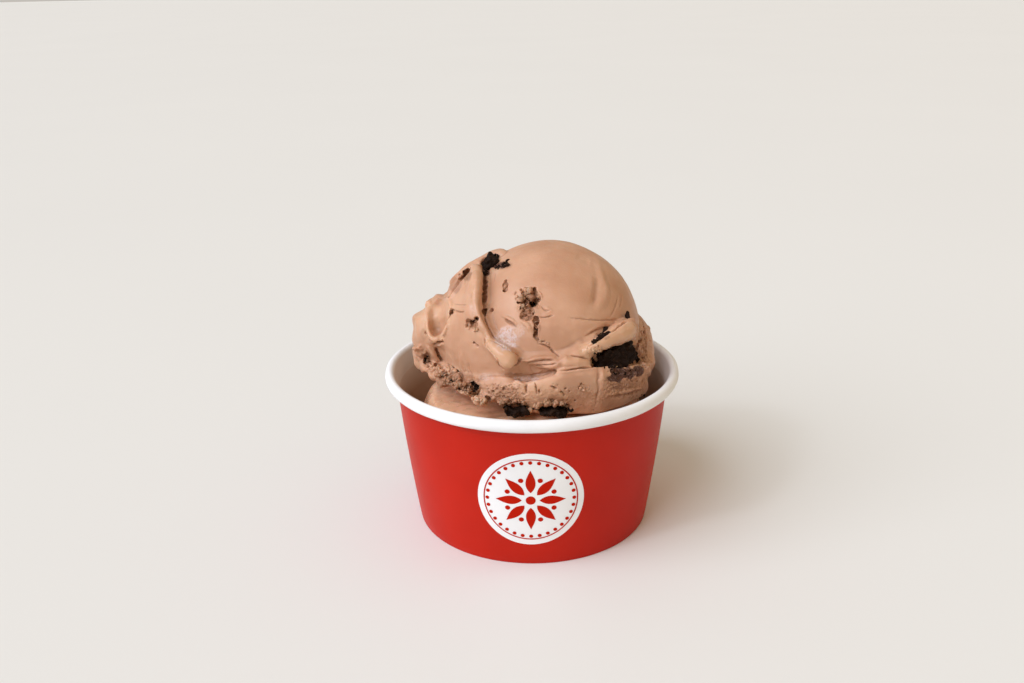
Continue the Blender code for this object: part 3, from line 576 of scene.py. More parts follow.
def make_camera():
    data = bpy.data.cameras.new("camera")
    data.sensor_width = SENSOR_MM
    data.lens = FOCAL_PIXELS / IMAGE_WIDTH * SENSOR_MM
    data.clip_start = 0.01
    data.clip_end = 100.0
    made = new_object("camera", data)
    made.matrix_world = Matrix([(RIGHT[i], UP[i], -FORWARD[i], EYE[i] * MM) for i in range(3)]
                               + [(0.0, 0.0, 0.0, 1.0)])
    bpy.context.scene.camera = made


def pixel_ray(x, y):
    return (FORWARD + RIGHT * ((x - IMAGE_WIDTH / 2) / FOCAL_PIXELS)
            + UP * ((IMAGE_HEIGHT / 2 - y) / FOCAL_PIXELS)).normalized()


def pixels_of(points):
    """Photograph pixels of an array of points."""
    away = points - np.array(EYE)
    depth = away @ np.array(FORWARD)
    x = IMAGE_WIDTH / 2 + FOCAL_PIXELS * (away @ np.array(RIGHT)) / depth
    y = IMAGE_HEIGHT / 2 - FOCAL_PIXELS * (away @ np.array(UP)) / depth
    return x, y


# Meshes

def new_object(name, data):
    made = bpy.data.objects.new(name, data)
    bpy.context.scene.collection.objects.link(made)
    return made


def from_bmesh(name, bm):
    mesh = bpy.data.meshes.new(name)
    bmesh.ops.recalc_face_normals(bm, faces=bm.faces)
    bm.to_mesh(mesh)
    bm.free()
    mesh.shade_smooth()
    return new_object(name, mesh)


@contextmanager
def editing(mesh):
    """The mesh as a bmesh, written back at the end."""
    bm = bmesh.new()
    bm.from_mesh(mesh)
    yield bm
    bm.to_mesh(mesh)
    bm.free()


def remesh(made, voxel, rounds):
    """Voxel remesh followed by rounds of smoothing, applied."""
    cubes = made.modifiers.new("remesh", "REMESH")
    cubes.mode = "VOXEL"
    cubes.voxel_size = voxel * MM
    cubes.adaptivity = 0.0
    cubes.use_smooth_shade = True
    smooth = made.modifiers.new("smooth", "SMOOTH")
    smooth.factor = 0.5
    smooth.iterations = rounds
    bpy.context.view_layer.update()
    graph = bpy.context.evaluated_depsgraph_get()
    old = made.data
    made.data = bpy.data.meshes.new_from_object(made.evaluated_get(graph))
    made.modifiers.clear()
    bpy.data.meshes.remove(old)


def copy_of_node(node, name):
    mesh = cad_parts[node].data.copy()
    mesh.materials.clear()
    with editing(mesh) as bm:
        bmesh.ops.remove_doubles(bm, verts=bm.verts, dist=0.01 * MM)
    return new_object(name, mesh)


def dress(made, slot, material, *nodes):
    """Give a piece its material, put it on the body and hide the solids it stands for; slot is not
    used.
    """
    made.data.materials.append(material)
    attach(made, "root")
    if nodes:
        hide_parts(*nodes)


class Blobs:
    """Many small balls gathered into one mesh, in millimetres."""

    def __init__(self, fineness):
        bm = bmesh.new()
        bmesh.ops.create_icosphere(bm, subdivisions=fineness, radius=1.0)
        self.points = np.array([vert.co for vert in bm.verts])
        self.faces = np.array([[vert.index for vert in face.verts] for face in bm.faces])
        bm.free()
        self.made = []

    def add(self, centre, radii, turn=None, roughness=0.0, seed=0.0):
        out = self.points
        if roughness:
            coarse, fine = noise_at(out, 1.2, seed), noise_at(out, 3.1, seed)
            out = out * (1.0 + roughness * (coarse + 0.45 * fine))[:, None]
        out = out * np.array(radii)
        if turn:
            out = out @ np.array(turn.to_matrix())
        self.made.append(out + np.array(centre))

    def mesh(self, name):
        count = len(self.points)
        faces = [self.faces + count * index for index in range(len(self.made))]
        mesh = bpy.data.meshes.new(name)
        mesh.from_pydata(np.concatenate(self.made) * MM, [], np.concatenate(faces).tolist())
        mesh.shade_smooth()
        return mesh


def smooth_path(rows, steps):
    """Points of a Catmull-Rom curve through the rows, steps to each stretch."""
    rows = [np.array(row, float) for row in rows]
    padded = [2 * rows[0] - rows[1], *rows, 2 * rows[-1] - rows[-2]]
    points = []
    for a, b, c, d in zip(padded, padded[1:], padded[2:], padded[3:]):
        for step in range(steps):
            t = step / steps
            points.append(0.5 * (2 * b + (c - a) * t + (2 * a - 5 * b + 4 * c - d) * t * t
                                 + (3 * b - a - 3 * c + d) * t ** 3))
    points.append(rows[-1])
    return points


def nudge(points, name):
    """Move points sideways to the photograph's view, so that outlines meet its own."""
    for x, y, radius, right, down in NUDGES.get(name, ()):
        px, py = pixels_of(points)
        share = smoothstep(1.0 - np.hypot(px - x, py - y) / radius)
        depth = (points - np.array(EYE)) @ np.array(FORWARD) / FOCAL_PIXELS
        points += (np.array(RIGHT) * right - np.array(UP) * down) * (share * depth)[:, None]


def met(tree, start, direction):
    """Point in millimetres and normal where a ray meets a surface, or None."""
    place, normal, _, _ = tree.ray_cast(start * MM, direction)
    return None if place is None else (np.array(place) / MM, np.array(normal))


class Clay:
    """A mesh's points in millimetres, pressed and raised by strokes."""

    def __init__(self, made):
        self.made = made
        self.load()

    def load(self):
        mesh = self.made.data
        count = len(mesh.vertices)
        flat = np.empty(count * 3)
        mesh.vertices.foreach_get("co", flat)
        self.points = flat.reshape(-1, 3) / MM
        self.marks = {mark: np.zeros(count) for mark in MARKS}
        ends = np.empty(len(mesh.edges) * 2, int)
        mesh.edges.foreach_get("vertices", ends)
        self.ends = ends.reshape(-1, 2)
        self.settle()

    def settle(self):
        """Write the points back, and read the new normals and surface."""
        mesh = self.made.data
        mesh.vertices.foreach_set("co", (self.points * MM).ravel())
        mesh.update()
        flat = np.empty(len(self.points) * 3)
        mesh.vertex_normals.foreach_get("vector", flat)
        self.normals = flat.reshape(-1, 3)
        bm = bmesh.new()
        bm.from_mesh(mesh)
        self.tree = BVHTree.FromBMesh(bm)
        bm.free()

    def front(self, x, y):
        """Surface point and normal under a pixel of the photograph, or None."""
        return met(self.tree, EYE, pixel_ray(x, y))

    def around(self, bearing, height):
        """Surface point and normal met from outside at a bearing and height."""
        out = outwards(math.radians(bearing))
        start = Vector((BALL_CENTRE[0], BALL_CENTRE[1], height)) + out * RAY_START
        return met(self.tree, start, -out)

    def path(self, rows, finder):
        """Surface points under a curve through the rows."""
        hits = [finder(*row) for row in smooth_path(rows, 8)]
        return np.array([hit[0] for hit in hits if hit])

    def near(self, line, reach):
        """Points within reach of a line: their indices, distances and shares along it."""
        low, high = line.min(0) - reach, line.max(0) + reach
        picked = np.flatnonzero(((self.points > low) & (self.points < high)).all(1))
        chosen = self.points[picked]
        best = np.full(len(picked), np.inf)
        share = np.zeros(len(picked))
        for index, (a, b) in enumerate(zip(line, line[1:])):
            run = b - a
            t = np.clip(((chosen - a) @ run) / max(run @ run, 1e-9), 0.0, 1.0)
            distance = np.linalg.norm(chosen - a - t[:, None] * run, axis=1)
            closer = distance < best
            best = np.where(closer, distance, best)
            share = np.where(closer, (index + t) / (len(line) - 1), share)
        inside = best < reach
        return picked[inside], best[inside], share[inside]

    def stroke(self, rows, width, height, finder, soft=False, mark=None):
        """Press (height below 0) or raise a crease of half width along the rows; a pressed crease also
        gets painted shade by its depth.
        """
        line = self.path(rows, finder)
        if len(line) < 2:
            return
        picked, distance, share = self.near(line, width * 1.3)
        uneven = 1.0 + (0.1 if soft else 0.7) * noise_at(self.points[picked], 0.9, 3.0)
        side = np.clip(1.0 - distance / (width * uneven), 0.0, 1.0)
        profile = smoothstep(side) if soft else side ** 0.8
        ends = np.clip(np.minimum(share, 1.0 - share) * 4.0, 0.0, 1.0) ** 0.7
        moved = height * profile * ends
        self.points[picked] += self.normals[picked] * moved[:, None]
        if mark:
            self.raise_mark(mark, picked, profile)
        if not soft and height < 0.0:
            self.raise_mark("depth", picked, -moved)

    def raise_mark(self, mark, picked, amount):
        """Set a mark to the amount wherever it is lower."""
        values = self.marks[mark]
        values[picked] = np.maximum(values[picked], amount)

    def spot(self, ragged, bearing, height, radius):
        """Normal, points and their share inside a ragged ball on the hidden side, 0 at its edge."""
        place, normal = self.around(bearing, height)
        away = np.linalg.norm(self.points - place, axis=1) / radius
        picked = np.flatnonzero(away < 1.6)
        away = away[picked] + ragged * noise_at(self.points[picked], 0.55, 11.0)
        return normal, picked, 1.0 - away

    def patch(self, ragged, x, y, half_width, half_height):
        """Normal, points and their share inside a ragged ellipse around a pixel, or None."""
        hit = self.front(x, y)
        if hit is None:
            return None
        place, normal = hit
        reach = max(half_width, half_height) * 0.5 + 3.0
        picked = np.flatnonzero(np.linalg.norm(self.points - place, axis=1) < reach)
        px, py = pixels_of(self.points[picked])
        away = np.hypot((px - x) / half_width, (py - y) / half_height)
        away += ragged * noise_at(self.points[picked], 0.55, 11.0)
        return normal, picked, 1.0 - away

    def break_in(self, area, depth):
        """Press a broken hollow with a steep ragged edge, with painted shade by its depth."""
        if area is None:
            return
        normal, picked, share = area
        press = smoothstep(share / 0.4)
        self.points[picked] -= normal * (depth * press)[:, None]
        self.raise_mark("crumbly", picked, press * min(0.8, depth * 0.45))
        self.raise_mark("depth", picked, press * depth * 0.3)

    def pit(self, hit, radius, depth, darkness=1.0):
        """Press a ragged pit into the surface, with painted shade by its depth."""
        if hit is None:
            return
        place, normal = hit
        picked, distance, _ = self.near(np.array([place, place + normal * 0.01]), radius * 1.5)
        uneven = 1.0 + 0.4 * noise_at(self.points[picked], 1.1, 7.0)
        side = np.clip(1.0 - distance / (radius * uneven), 0.0, 1.0)
        moved = depth * np.minimum(1.0, side * 1.7)
        self.points[picked] -= normal * moved[:, None]
        self.raise_mark("depth", picked, moved * darkness)

    def paint(self, mark, area, strength):
        """Mark an area with a ragged soft edge."""
        if area is None:
            return
        _, picked, share = area
        self.raise_mark(mark, picked, strength * smoothstep((share + 0.15) / 0.45))

    def paint_along(self, mark, rows, width, strength):
        picked, distance, _ = self.near(self.path(rows, self.front), width * 1.3)
        self.raise_mark(mark, picked, strength * smoothstep((1.1 - distance / width) / 0.5))

    def relaxed(self, rounds):
        """Points after rounds of averaging with their neighbours."""
        count = len(self.points)
        a, b = self.ends.T
        degree = np.bincount(a, minlength=count) + np.bincount(b, minlength=count)
        points = self.points
        for _ in range(rounds):
            total = np.stack([np.bincount(a, points[b, i], count) + np.bincount(b, points[a, i], count)
                              for i in range(3)], axis=1)
            points = 0.5 * points + 0.5 * total / np.maximum(degree, 1)[:, None]
        return points

    def write_marks(self):
        """Store the marks and the surface's own cavities as attributes; the cavities give painted
        shade in hollows and a painted highlight on ridges.
        """
        layers = dict(self.marks)
        for name, (rounds, full) in CAVITIES.items():
            below = ((self.relaxed(rounds) - self.points) * self.normals).sum(1)
            layers[name] = np.clip(below / full, -1.0, 1.0)
        for name, values in layers.items():
            made = self.made.data.attributes.new(name, "FLOAT", "POINT")
            made.data.foreach_set("value", values.astype(np.float32))


def noise_at(points, waves, seed):
    """Smooth noise at every point, in waves per millimetre."""
    shift = Vector((seed, seed * 1.7, seed * 0.3))
    return np.array([noise.noise(Vector(p) + shift) for p in points * waves])


def lumps_at(points, waves, seed):
    """Cobbled noise, near 1 in the middle of each cell and 0 at its edge."""
    shift = Vector((seed, seed * 1.7, seed * 0.3))
    values = []
    for p in points * waves:
        near = noise.voronoi(Vector(p) + shift)[0]
        values.append(near[1] - near[0])
    return np.clip(np.array(values) * 1.6, 0.0, 1.0)


# Ice cream

def snap_to_ball(clay):
    """Make the ball truly round where the surface follows it."""
    out = clay.points - BALL_CENTRE
    distance = np.linalg.norm(out, axis=1)
    error = distance - BALL_RADIUS
    share = smoothstep(1.0 - np.abs(error) / BALL_SNAP)
    clay.points -= out / distance[:, None] * (error * share)[:, None]


def add_strands(made, clay):
    """Thin raised edges and lumps, fused with the scoop by the fine remesh."""
    blobs = Blobs(2)
    for strands, finder in ((STRANDS, clay.front), (BACK_STRANDS, clay.around)):
        for rows, lift in strands.values():
            for x, y, radius in smooth_path(rows, 9):
                hit = finder(x, y)
                if hit is None:
                    continue
                place, normal = hit
                radius *= 1.0 + 0.12 * noise.noise(Vector(place) * 0.7)
                blobs.add(place + normal * radius * lift, (radius,) * 3)
    scatter(blobs, both_sides(clay, LUMPS, BACK_LUMPS), random.Random(LUMP_SEED))
    bm = bmesh.new()
    bmesh.ops.create_icosphere(bm, subdivisions=6, radius=(BALL_RADIUS - POCKET_FILL) * MM,
                               matrix=Matrix.Translation(Vector(BALL_CENTRE) * MM))
    bm.from_mesh(made.data)
    bm.from_mesh(blobs.mesh("strands"))
    bm.to_mesh(made.data)
    bm.free()


def both_sides(clay, front_groups, back_groups):
    """Groups with the finder that turns their rows into places on the surface."""
    return ([(group, clay.front) for group in front_groups]
            + [(group, clay.around) for group in back_groups])


def scatter(blobs, groups, draw):
    """Rough blobs along paths on the surface, sunk most of the way into it."""
    for (rows, spread, count, radii), finder in groups:
        line = smooth_path(rows, 12)
        for _ in range(count):
            x, y = line[draw.randrange(len(line))]
            hit = finder(x + draw.gauss(0.0, spread * 0.6), y + draw.gauss(0.0, spread * 0.6))
            if hit is None:
                continue
            place, normal = hit
            radius = radii[0] + (radii[1] - radii[0]) * draw.random() ** 1.6
            shape = [radius * draw.uniform(0.65, 1.3) for _ in range(3)]
            turn = Euler([draw.uniform(0, math.tau) for _ in range(3)])
            blobs.add(place + normal * radius * 0.05, shape, turn, 0.6, draw.uniform(0, 50))


def refine(made):
    """Split the faces that lie in the photograph's detailed regions."""
    with editing(made.data) as bm:
        bm.faces.ensure_lookup_table()
        centres = np.array([face.calc_center_median() for face in bm.faces]) / MM
        facing = np.array([face.normal for face in bm.faces]) @ np.array(FORWARD) < 0.25
        x, y = pixels_of(centres)
        wanted = np.zeros(len(centres), bool)
        for x0, y0, x1, y1 in REFINED:
            wanted |= (x > x0) & (x < x1) & (y > y0) & (y < y1)
        wanted &= facing
        edges = {edge for index in np.flatnonzero(wanted) for edge in bm.faces[index].edges}
        bmesh.ops.subdivide_edges(bm, edges=list(edges), cuts=1, use_grid_fill=True)
    made.data.shade_smooth()


def sculpt(clay):
    """All strokes, in order from broad to fine."""
    snap_to_ball(clay)
    ball = smoothstep(1.0 - (np.linalg.norm(clay.points - BALL_CENTRE, axis=1) - BALL_RADIUS) / 1.0)
    uneven = sum(noise_at(clay.points, waves, seed) * (height - less * ball)
                 for waves, seed, height, less in UNEVEN)
    clay.points += clay.normals * uneven[:, None]
    clay.settle()
    for rows, width, height in SWELLINGS.values():
        clay.stroke(rows, width, height, clay.front, soft=True)
    for rows, width, depth in CRUMBLY_BANDS:
        clay.stroke(rows, width, -depth, clay.front, soft=True, mark="crumbly")
    for hollows, area in ((HOLLOWS, clay.patch), (BACK_HOLLOWS, clay.spot)):
        for *where, depth in hollows:
            clay.break_in(area(HOLLOW_RAGGED, *where), depth)
    clay.settle()
    for creases, finder in ((CREASES.values(), clay.front), (BACK_CREASES, clay.around)):
        for rows, width, depth in creases:
            clay.stroke(rows, width, -depth, finder)
    clay.settle()
    for paint, area in ((PAINT, clay.patch), (BACK_PAINT, clay.spot)):
        for mark, rows in paint.items():
            for *where, strength in rows:
                clay.paint(mark, area(PAINT_RAGGED, *where), strength)
    for mark, paths in PAINTED_PATHS.items():
        for rows, width, strength in paths:
            clay.paint_along(mark, rows, width, strength)
    for pits, finder in ((PITS, clay.front), (BACK_PITS, clay.around)):
        for x, y, radius, depth in pits:
            clay.pit(finder(x, y), radius, depth)
    press_fields(clay, PIT_FIELDS, clay.front, PIT_SEEDS[0])
    press_fields(clay, BACK_PIT_FIELDS, clay.around, PIT_SEEDS[1])
    clay.settle()
    break_up(clay)


def break_up(clay):
    """Cobble the crumbly and porous surface, with painted shade between the cobbles."""
    crumbly = clay.marks["crumbly"]
    rough = np.clip(crumbly + 0.3 * clay.marks["pores"] + 0.3 * clay.marks["stain_and_painted_shade"], 0.0, 1.0)
    picked = np.flatnonzero(rough > 0.02)
    points = clay.points[picked]
    warp = np.stack([noise_at(points, 0.9, 30.0 + axis) for axis in range(3)], axis=1)
    moved = np.zeros(len(picked))
    for waves, height in COBBLES:
        cobbles = lumps_at(points + warp * 0.7, waves, 4.0)
        moved += height * (cobbles - 0.55)
        gaps = np.clip((0.45 - cobbles) * 2.0, 0.0, 1.0) * crumbly[picked] * height
        clay.raise_mark("depth", picked, gaps * 0.6)
    grain = noise_at(points, 2.4, 9.0)
    clay.points[picked] += clay.normals[picked] * (rough[picked] * (moved + 0.2 * grain))[:, None]
    clay.settle()


def press_fields(clay, fields, finder, seed):
    draw = random.Random(seed)
    for across, along, count, radii, depths in fields:
        for _ in range(count):
            spot = (draw.uniform(*across), draw.uniform(*along))
            size = draw.random() ** 2
            radius = radii[0] + (radii[1] - radii[0]) * size
            depth = depths[0] + (depths[1] - depths[0]) * size
            clay.pit(finder(*spot), radius, depth, 0.35)


def make_ice_cream():
    made = copy_of_node("ice_cream_scoop", "ice_cream")
    remesh(made, COARSE_VOXEL, 6)
    clay = Clay(made)
    snap_to_ball(clay)
    nudge(clay.points, "ice_cream")
    clay.settle()
    add_strands(made, clay)
    remesh(made, FINE_VOXEL, 2)
    refine(made)
    clay.load()
    sculpt(clay)
    clay.write_marks()
    dress(made, "ice_cream", cream_material(), "ice_cream_scoop")
    return clay


def make_ice_cream_in_cup():
    made = copy_of_node("lower_scoop", "ice_cream_in_cup")
    remesh(made, IN_CUP_VOXEL, 6)
    clay = Clay(made)
    free = smoothstep((clay.points[:, 2] - FREE_SURFACE[0]) / FREE_SURFACE[1])
    uneven = sum(noise_at(clay.points, waves, seed) * height
                 for waves, seed, height in IN_CUP_UNEVEN)
    clay.points += clay.normals * (free * (uneven - IN_CUP_SUNK))[:, None]
    for mark, strength in IN_CUP_MARKS.items():
        clay.marks[mark][:] = strength
    clay.settle()
    clay.write_marks()
    dress(made, "ice_cream", cream_material("ice_cream_in_cup", IN_CUP_PAINTED_LIGHT), "lower_scoop")


# Crumbs and cookie

def make_crumbs(name, groups, material, slot, seed):
    crumbs = Blobs(2)
    scatter(crumbs, groups, random.Random(seed))
    made = new_object(name, crumbs.mesh(name))
    take_marks(made.data, surface)
    dress(made, slot, material)


def take_marks(mesh, clay):
    """Colour crumbs like the surface that they lie on."""
    faces = clay.made.data.polygons
    below = [faces[clay.tree.find_nearest(v.co)[2]].vertices[0] for v in mesh.vertices]
    for mark in CRUMB_MARKS:
        layer = mesh.attributes.new(mark, "FLOAT", "POINT")
        layer.data.foreach_set("value", clay.marks[mark][below].astype(np.float32))


def make_cookies():
    """Each chunk as broken cookie, cobbled and grainy; returns the surface of all of them."""
    chunks = bmesh.new()
    for node in sorted(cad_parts):
        if not node.startswith("chunk_"):
            continue
        made = copy_of_node(node, node.replace("chunk", "cookie"))
        remesh(made, CHUNK_VOXEL, 2)
        clay = Clay(made)
        nudge(clay.points, made.name)
        clay.settle()
        seed = float(sum(map(ord, node)) % 97)
        moved = -COVERED_COOKIES.get(node, COOKIE_SHRINK)
        for waves, height in COOKIE_LUMPS:
            moved = moved + height * noise_at(clay.points, waves, seed)
        clay.points += clay.normals * moved[:, None]
        clay.settle()
        dress(made, "cookie", cookie_material(), node)
        chunks.from_mesh(made.data)
    tree = BVHTree.FromBMesh(chunks)
    chunks.free()
    return tree


def front_of_all(x, y):
    """Surface point and normal under a pixel, on the ice cream or on a cookie before it."""
    hits = (surface.front(x, y), met(cookies, EYE, pixel_ray(x, y)))
    return min(filter(None, hits), key=lambda hit: np.linalg.norm(hit[0] - np.array(EYE)),
               default=None)


def make_chip(clay):
    """Tiny splinter of cookie that stands on the right of the ball."""
    place, normal = clay.front(*CHIP_PIXEL)
    chip = Blobs(3)
    chip.add(place + normal * 0.5, CHIP_RADII, None, 0.4)
    made = new_object("cookie_chip", chip.mesh("cookie_chip"))
    dress(made, "cookie", cookie_material())


# Cup

def wall_radius(height):
    share = 1.0 - (1.0 - height / CUP_HEIGHT) ** WALL_CURVE
    return FOOT_RADIUS + (WALL_TOP_RADIUS - FOOT_RADIUS) * share


def outwards(bearing):
    """Level direction out from the axis at a bearing in radians, 0 to the front."""
    return Vector((math.sin(bearing), -math.cos(bearing), 0.0))


def wall_bend(out):
    """How far the paper is off true in a direction."""
    return WALL_BEND * noise.noise(out * 1.7)


def cup_profile():
    """Closed section as (radius, height, white) points, up the outside and down the inside."""
    rim_middle = CUP_HEIGHT - RIM_HALF_HEIGHT
    rim_foot = rim_middle - RIM_HALF_HEIGHT
    heights = np.linspace(HEM_HEIGHT, rim_foot, 16)
    rows = [(FOOT_RADIUS - HEM_CORNER, 0.0, False), (FOOT_RADIUS - 0.1, 0.1, False),
            (FOOT_RADIUS, HEM_CORNER, False), (wall_radius(3.0), 3.0, False)]
    rows += [(wall_radius(height), height, False) for height in heights]
    for step in range(RIM_STEPS + 1):
        angle = math.radians(RIM_ARC[0] + (RIM_ARC[1] - RIM_ARC[0]) * step / RIM_STEPS)
        rows.append((RIM_CENTRE_RADIUS + RIM_HALF_WIDTH * math.cos(angle),
                     rim_middle + RIM_HALF_HEIGHT * math.sin(angle), True))
    rows += [(wall_radius(height) - WALL, height, True) for height in heights[::-1]]
    inside = FOOT_RADIUS - HEM_THICKNESS
    rows += [(wall_radius(HEM_HEIGHT) - HEM_THICKNESS, HEM_HEIGHT, True),
             (inside, HEM_CORNER, True), (inside + HEM_CORNER, 0.0, True)]
    return rows


def make_cup():
    """Paper cup with its rolled rim and the glued side seam at the back."""
    rows = cup_profile()
    seam = math.radians(SEAM_BEARING)
    bm = bmesh.new()
    columns = []
    for index in range(CUP_SEGMENTS):
        angle = math.tau * index / CUP_SEGMENTS
        column = []
        past = (angle - seam) * FOOT_RADIUS
        lap = SEAM_STEP * (smoothstep(past / SEAM_EDGE)
                           - smoothstep((past - SEAM_WIDTH) / SEAM_EDGE))
        for radius, height, white in rows:
            out = outwards(angle)
            bend = wall_bend(out) + (RIM_BEND * noise.noise(out * 6.0) if white else 0.0)
            outer = radius > wall_radius(min(height, CUP_HEIGHT)) - 0.1
            grown = radius + bend * height / CUP_HEIGHT + (lap if outer else 0.0)
            column.append(bm.verts.new((out * grown + Vector((0, 0, height))) * MM))
        columns.append(column)
    whites = [row[2] for row in rows]
    rim_end = whites.index(True) + RIM_STEPS + 1
    for one, two in zip(columns, columns[1:] + columns[:1]):
        for k in range(len(rows)):
            n = (k + 1) % len(rows)
            face = bm.faces.new((one[k], one[n], two[n], two[k]))
            inside = rim_end < k < len(rows) - 3
            face.material_index = 2 if inside else 1 if whites[k] or whites[n] else 0
    made = from_bmesh("cup", bm)
    dress(made, "cup_paper", paper_material("red_paper", PAPER_RED, 0.5, 0.35), "cup_wall")
    made.data.materials.append(paper_material("white_paper", PAPER_WHITE))
    # The inside is painted darker and browner lower down: painted shade and painted reflected light
    made.data.materials.append(paper_material("inner_paper_painted_shade", PAPER_INSIDE_PAINTED_SHADE, top_colour=PAPER_WHITE))


def label_place():
    """Bearing and height of the label's middle, where the photograph shows it."""
    direction = pixel_ray(*LABEL_PIXEL)
    distance = 0.0
    for _ in range(60):
        point = EYE + direction * distance
        distance += math.hypot(point.x, point.y) - wall_radius(min(max(point.z, 0.0), 48.0))
    return math.atan2(point.x, -point.y), point.z


def on_wall(u, v, lift):
    """Point of the outer wall, u across and v up from the label's middle."""
    height = LABEL_HEIGHT + v
    radius = wall_radius(height)
    out = outwards(LABEL_BEARING + u / radius)
    radius += lift + wall_bend(out) * height / CUP_HEIGHT
    return (out * radius + Vector((0, 0, height))) * MM


def add_patch(bm, rows, lift):
    """Grid of faces through rows of (u, v) points on the wall."""
    verts = [[bm.verts.new(on_wall(u, v, lift)) for u, v in row] for row in rows]
    for low, high in zip(verts, verts[1:]):
        for a, b, c, d in zip(low, low[1:], high[1:], high):
            bm.faces.new((a, b, c, d))


def ring_rows(radii, sides, middle=(0.0, 0.0)):
    """Rows of points round a middle, one for each radius."""
    turns = [math.tau * k / sides for k in range(sides + 1)]
    return [[(middle[0] + radius * math.cos(turn), middle[1] + radius * math.sin(turn))
             for turn in turns] for radius in radii]


def disc_rows(radius, rings, sides, out=0.0, angle=0.0):
    """Rows of a disc that lies out from the label's middle at an angle."""
    radii = [radius * max(ring / rings, 0.02) for ring in range(rings + 1)]
    return ring_rows(radii, sides, (out * math.cos(angle), out * math.sin(angle)))


def petal_rows(angle):
    """Rows of a pointed petal that lies along a direction from the middle."""
    along = np.array((math.cos(angle), math.sin(angle)))
    across = np.array((-along[1], along[0]))
    rows = []
    for step in range(13):
        t = step / 12
        reach = PETAL_REACH[0] + (PETAL_REACH[1] - PETAL_REACH[0]) * t
        half = 0.5 * PETAL_WIDTH * max(math.sin(math.pi * t ** 0.8), 0.03)
        rows.append([tuple(along * reach + across * half * side) for side in (-1, -0.5, 0, 0.5, 1)])
    return rows


def finish_sheet(bm, name, material):
    bmesh.ops.remove_doubles(bm, verts=bm.verts, dist=0.005 * MM)
    dress(from_bmesh(name, bm), "cup_paper", material)


def make_label():
    """White disc with a plain rosette inside a ring of dots."""
    bm = bmesh.new()
    add_patch(bm, disc_rows(LABEL_RADIUS, 10, 96), LABEL_LIFT)
    finish_sheet(bm, "label_disc", paper_material("label_white", PAPER_WHITE, 0.34))
    bm = bmesh.new()
    print_rows = [ring_rows(THIN_RING, 96)]
    for index in range(DOTS):
        print_rows.append(disc_rows(DOT_RADIUS, 2, 16, DOT_RING_RADIUS, math.tau * index / DOTS))
    for index in range(PETALS):
        angle = math.tau * index / PETALS
        print_rows.append(petal_rows(angle))
        print_rows.append(disc_rows(SPOT_RADIUS, 2, 16, SPOT_RING_RADIUS, angle + math.pi / PETALS))
    print_rows.append(disc_rows(HEART_RADIUS, 3, 24))
    for rows in print_rows:
        add_patch(bm, rows, 2.0 * LABEL_LIFT)
    finish_sheet(bm, "label_print", paper_material("label_red", PAPER_RED, 0.34))


# Materials

class Nodes:
    """Short way of wiring the nodes of a material or the world."""

    def __init__(self, owner, shader="Principled BSDF"):
        owner.use_nodes = True
        self.tree = owner.node_tree
        self.shader = self.tree.nodes[shader]

    def add(self, kind, inputs=None, **settings):
        node = self.tree.nodes.new("ShaderNode" + kind)
        for key, value in settings.items():
            setattr(node, key, value)
        for key, value in (inputs or {}).items():
            self.put(node.inputs[key], value)
        return node

    def put(self, socket, value):
        if isinstance(value, bpy.types.NodeSocket):
            self.tree.links.new(value, socket)
        elif isinstance(value, tuple) and len(value) == 3 and socket.type == "RGBA":
            socket.default_value = (*value, 1.0)
        else:
            socket.default_value = value

    def mix(self, share, a, b, blend="MIX"):
        node = self.add("Mix", {0: share, 6: a, 7: b}, data_type="RGBA", blend_type=blend)
        return node.outputs[2]

    def math(self, operation, a, b, clamp=False):
        node = self.add("Math", {0: a, 1: b}, operation=operation, use_clamp=clamp)
        return node.outputs[0]

    def times(self, a, b):
        return self.math("MULTIPLY", a, b)

    def spread(self, value, low, high, start=0.0, end=1.0):
        node = self.add("MapRange", {"Value": value, "From Min": low, "From Max": high,
                                     "To Min": start, "To Max": end}, clamp=True)
        return node.outputs[0]

    def place(self, scale=(1.0, 1.0, 1.0), turn=(0.0, 0.0, 0.0)):
        where = self.add("TexCoord").outputs["Object"]
        return self.add("Mapping", {"Vector": where, "Scale": scale, "Rotation": turn}).outputs[0]

    def noise(self, scale, detail=4.0, vector=None, roughness=0.5):
        return self.add("TexNoise", {"Vector": vector or self.place(), "Scale": scale,
                                     "Detail": detail, "Roughness": roughness}).outputs["Fac"]

    def mark(self, name):
        return self.add("Attribute", attribute_name=name).outputs["Fac"]

    def bump(self, height, distance, strength=1.0, normal=None):
        node = self.add("Bump", {"Height": height, "Distance": distance, "Strength": strength})
        if normal:
            self.put(node.inputs["Normal"], normal)
        return node.outputs[0]

    def set(self, **sockets):
        for name, value in sockets.items():
            self.put(self.shader.inputs[name.replace("_", " ")], value)


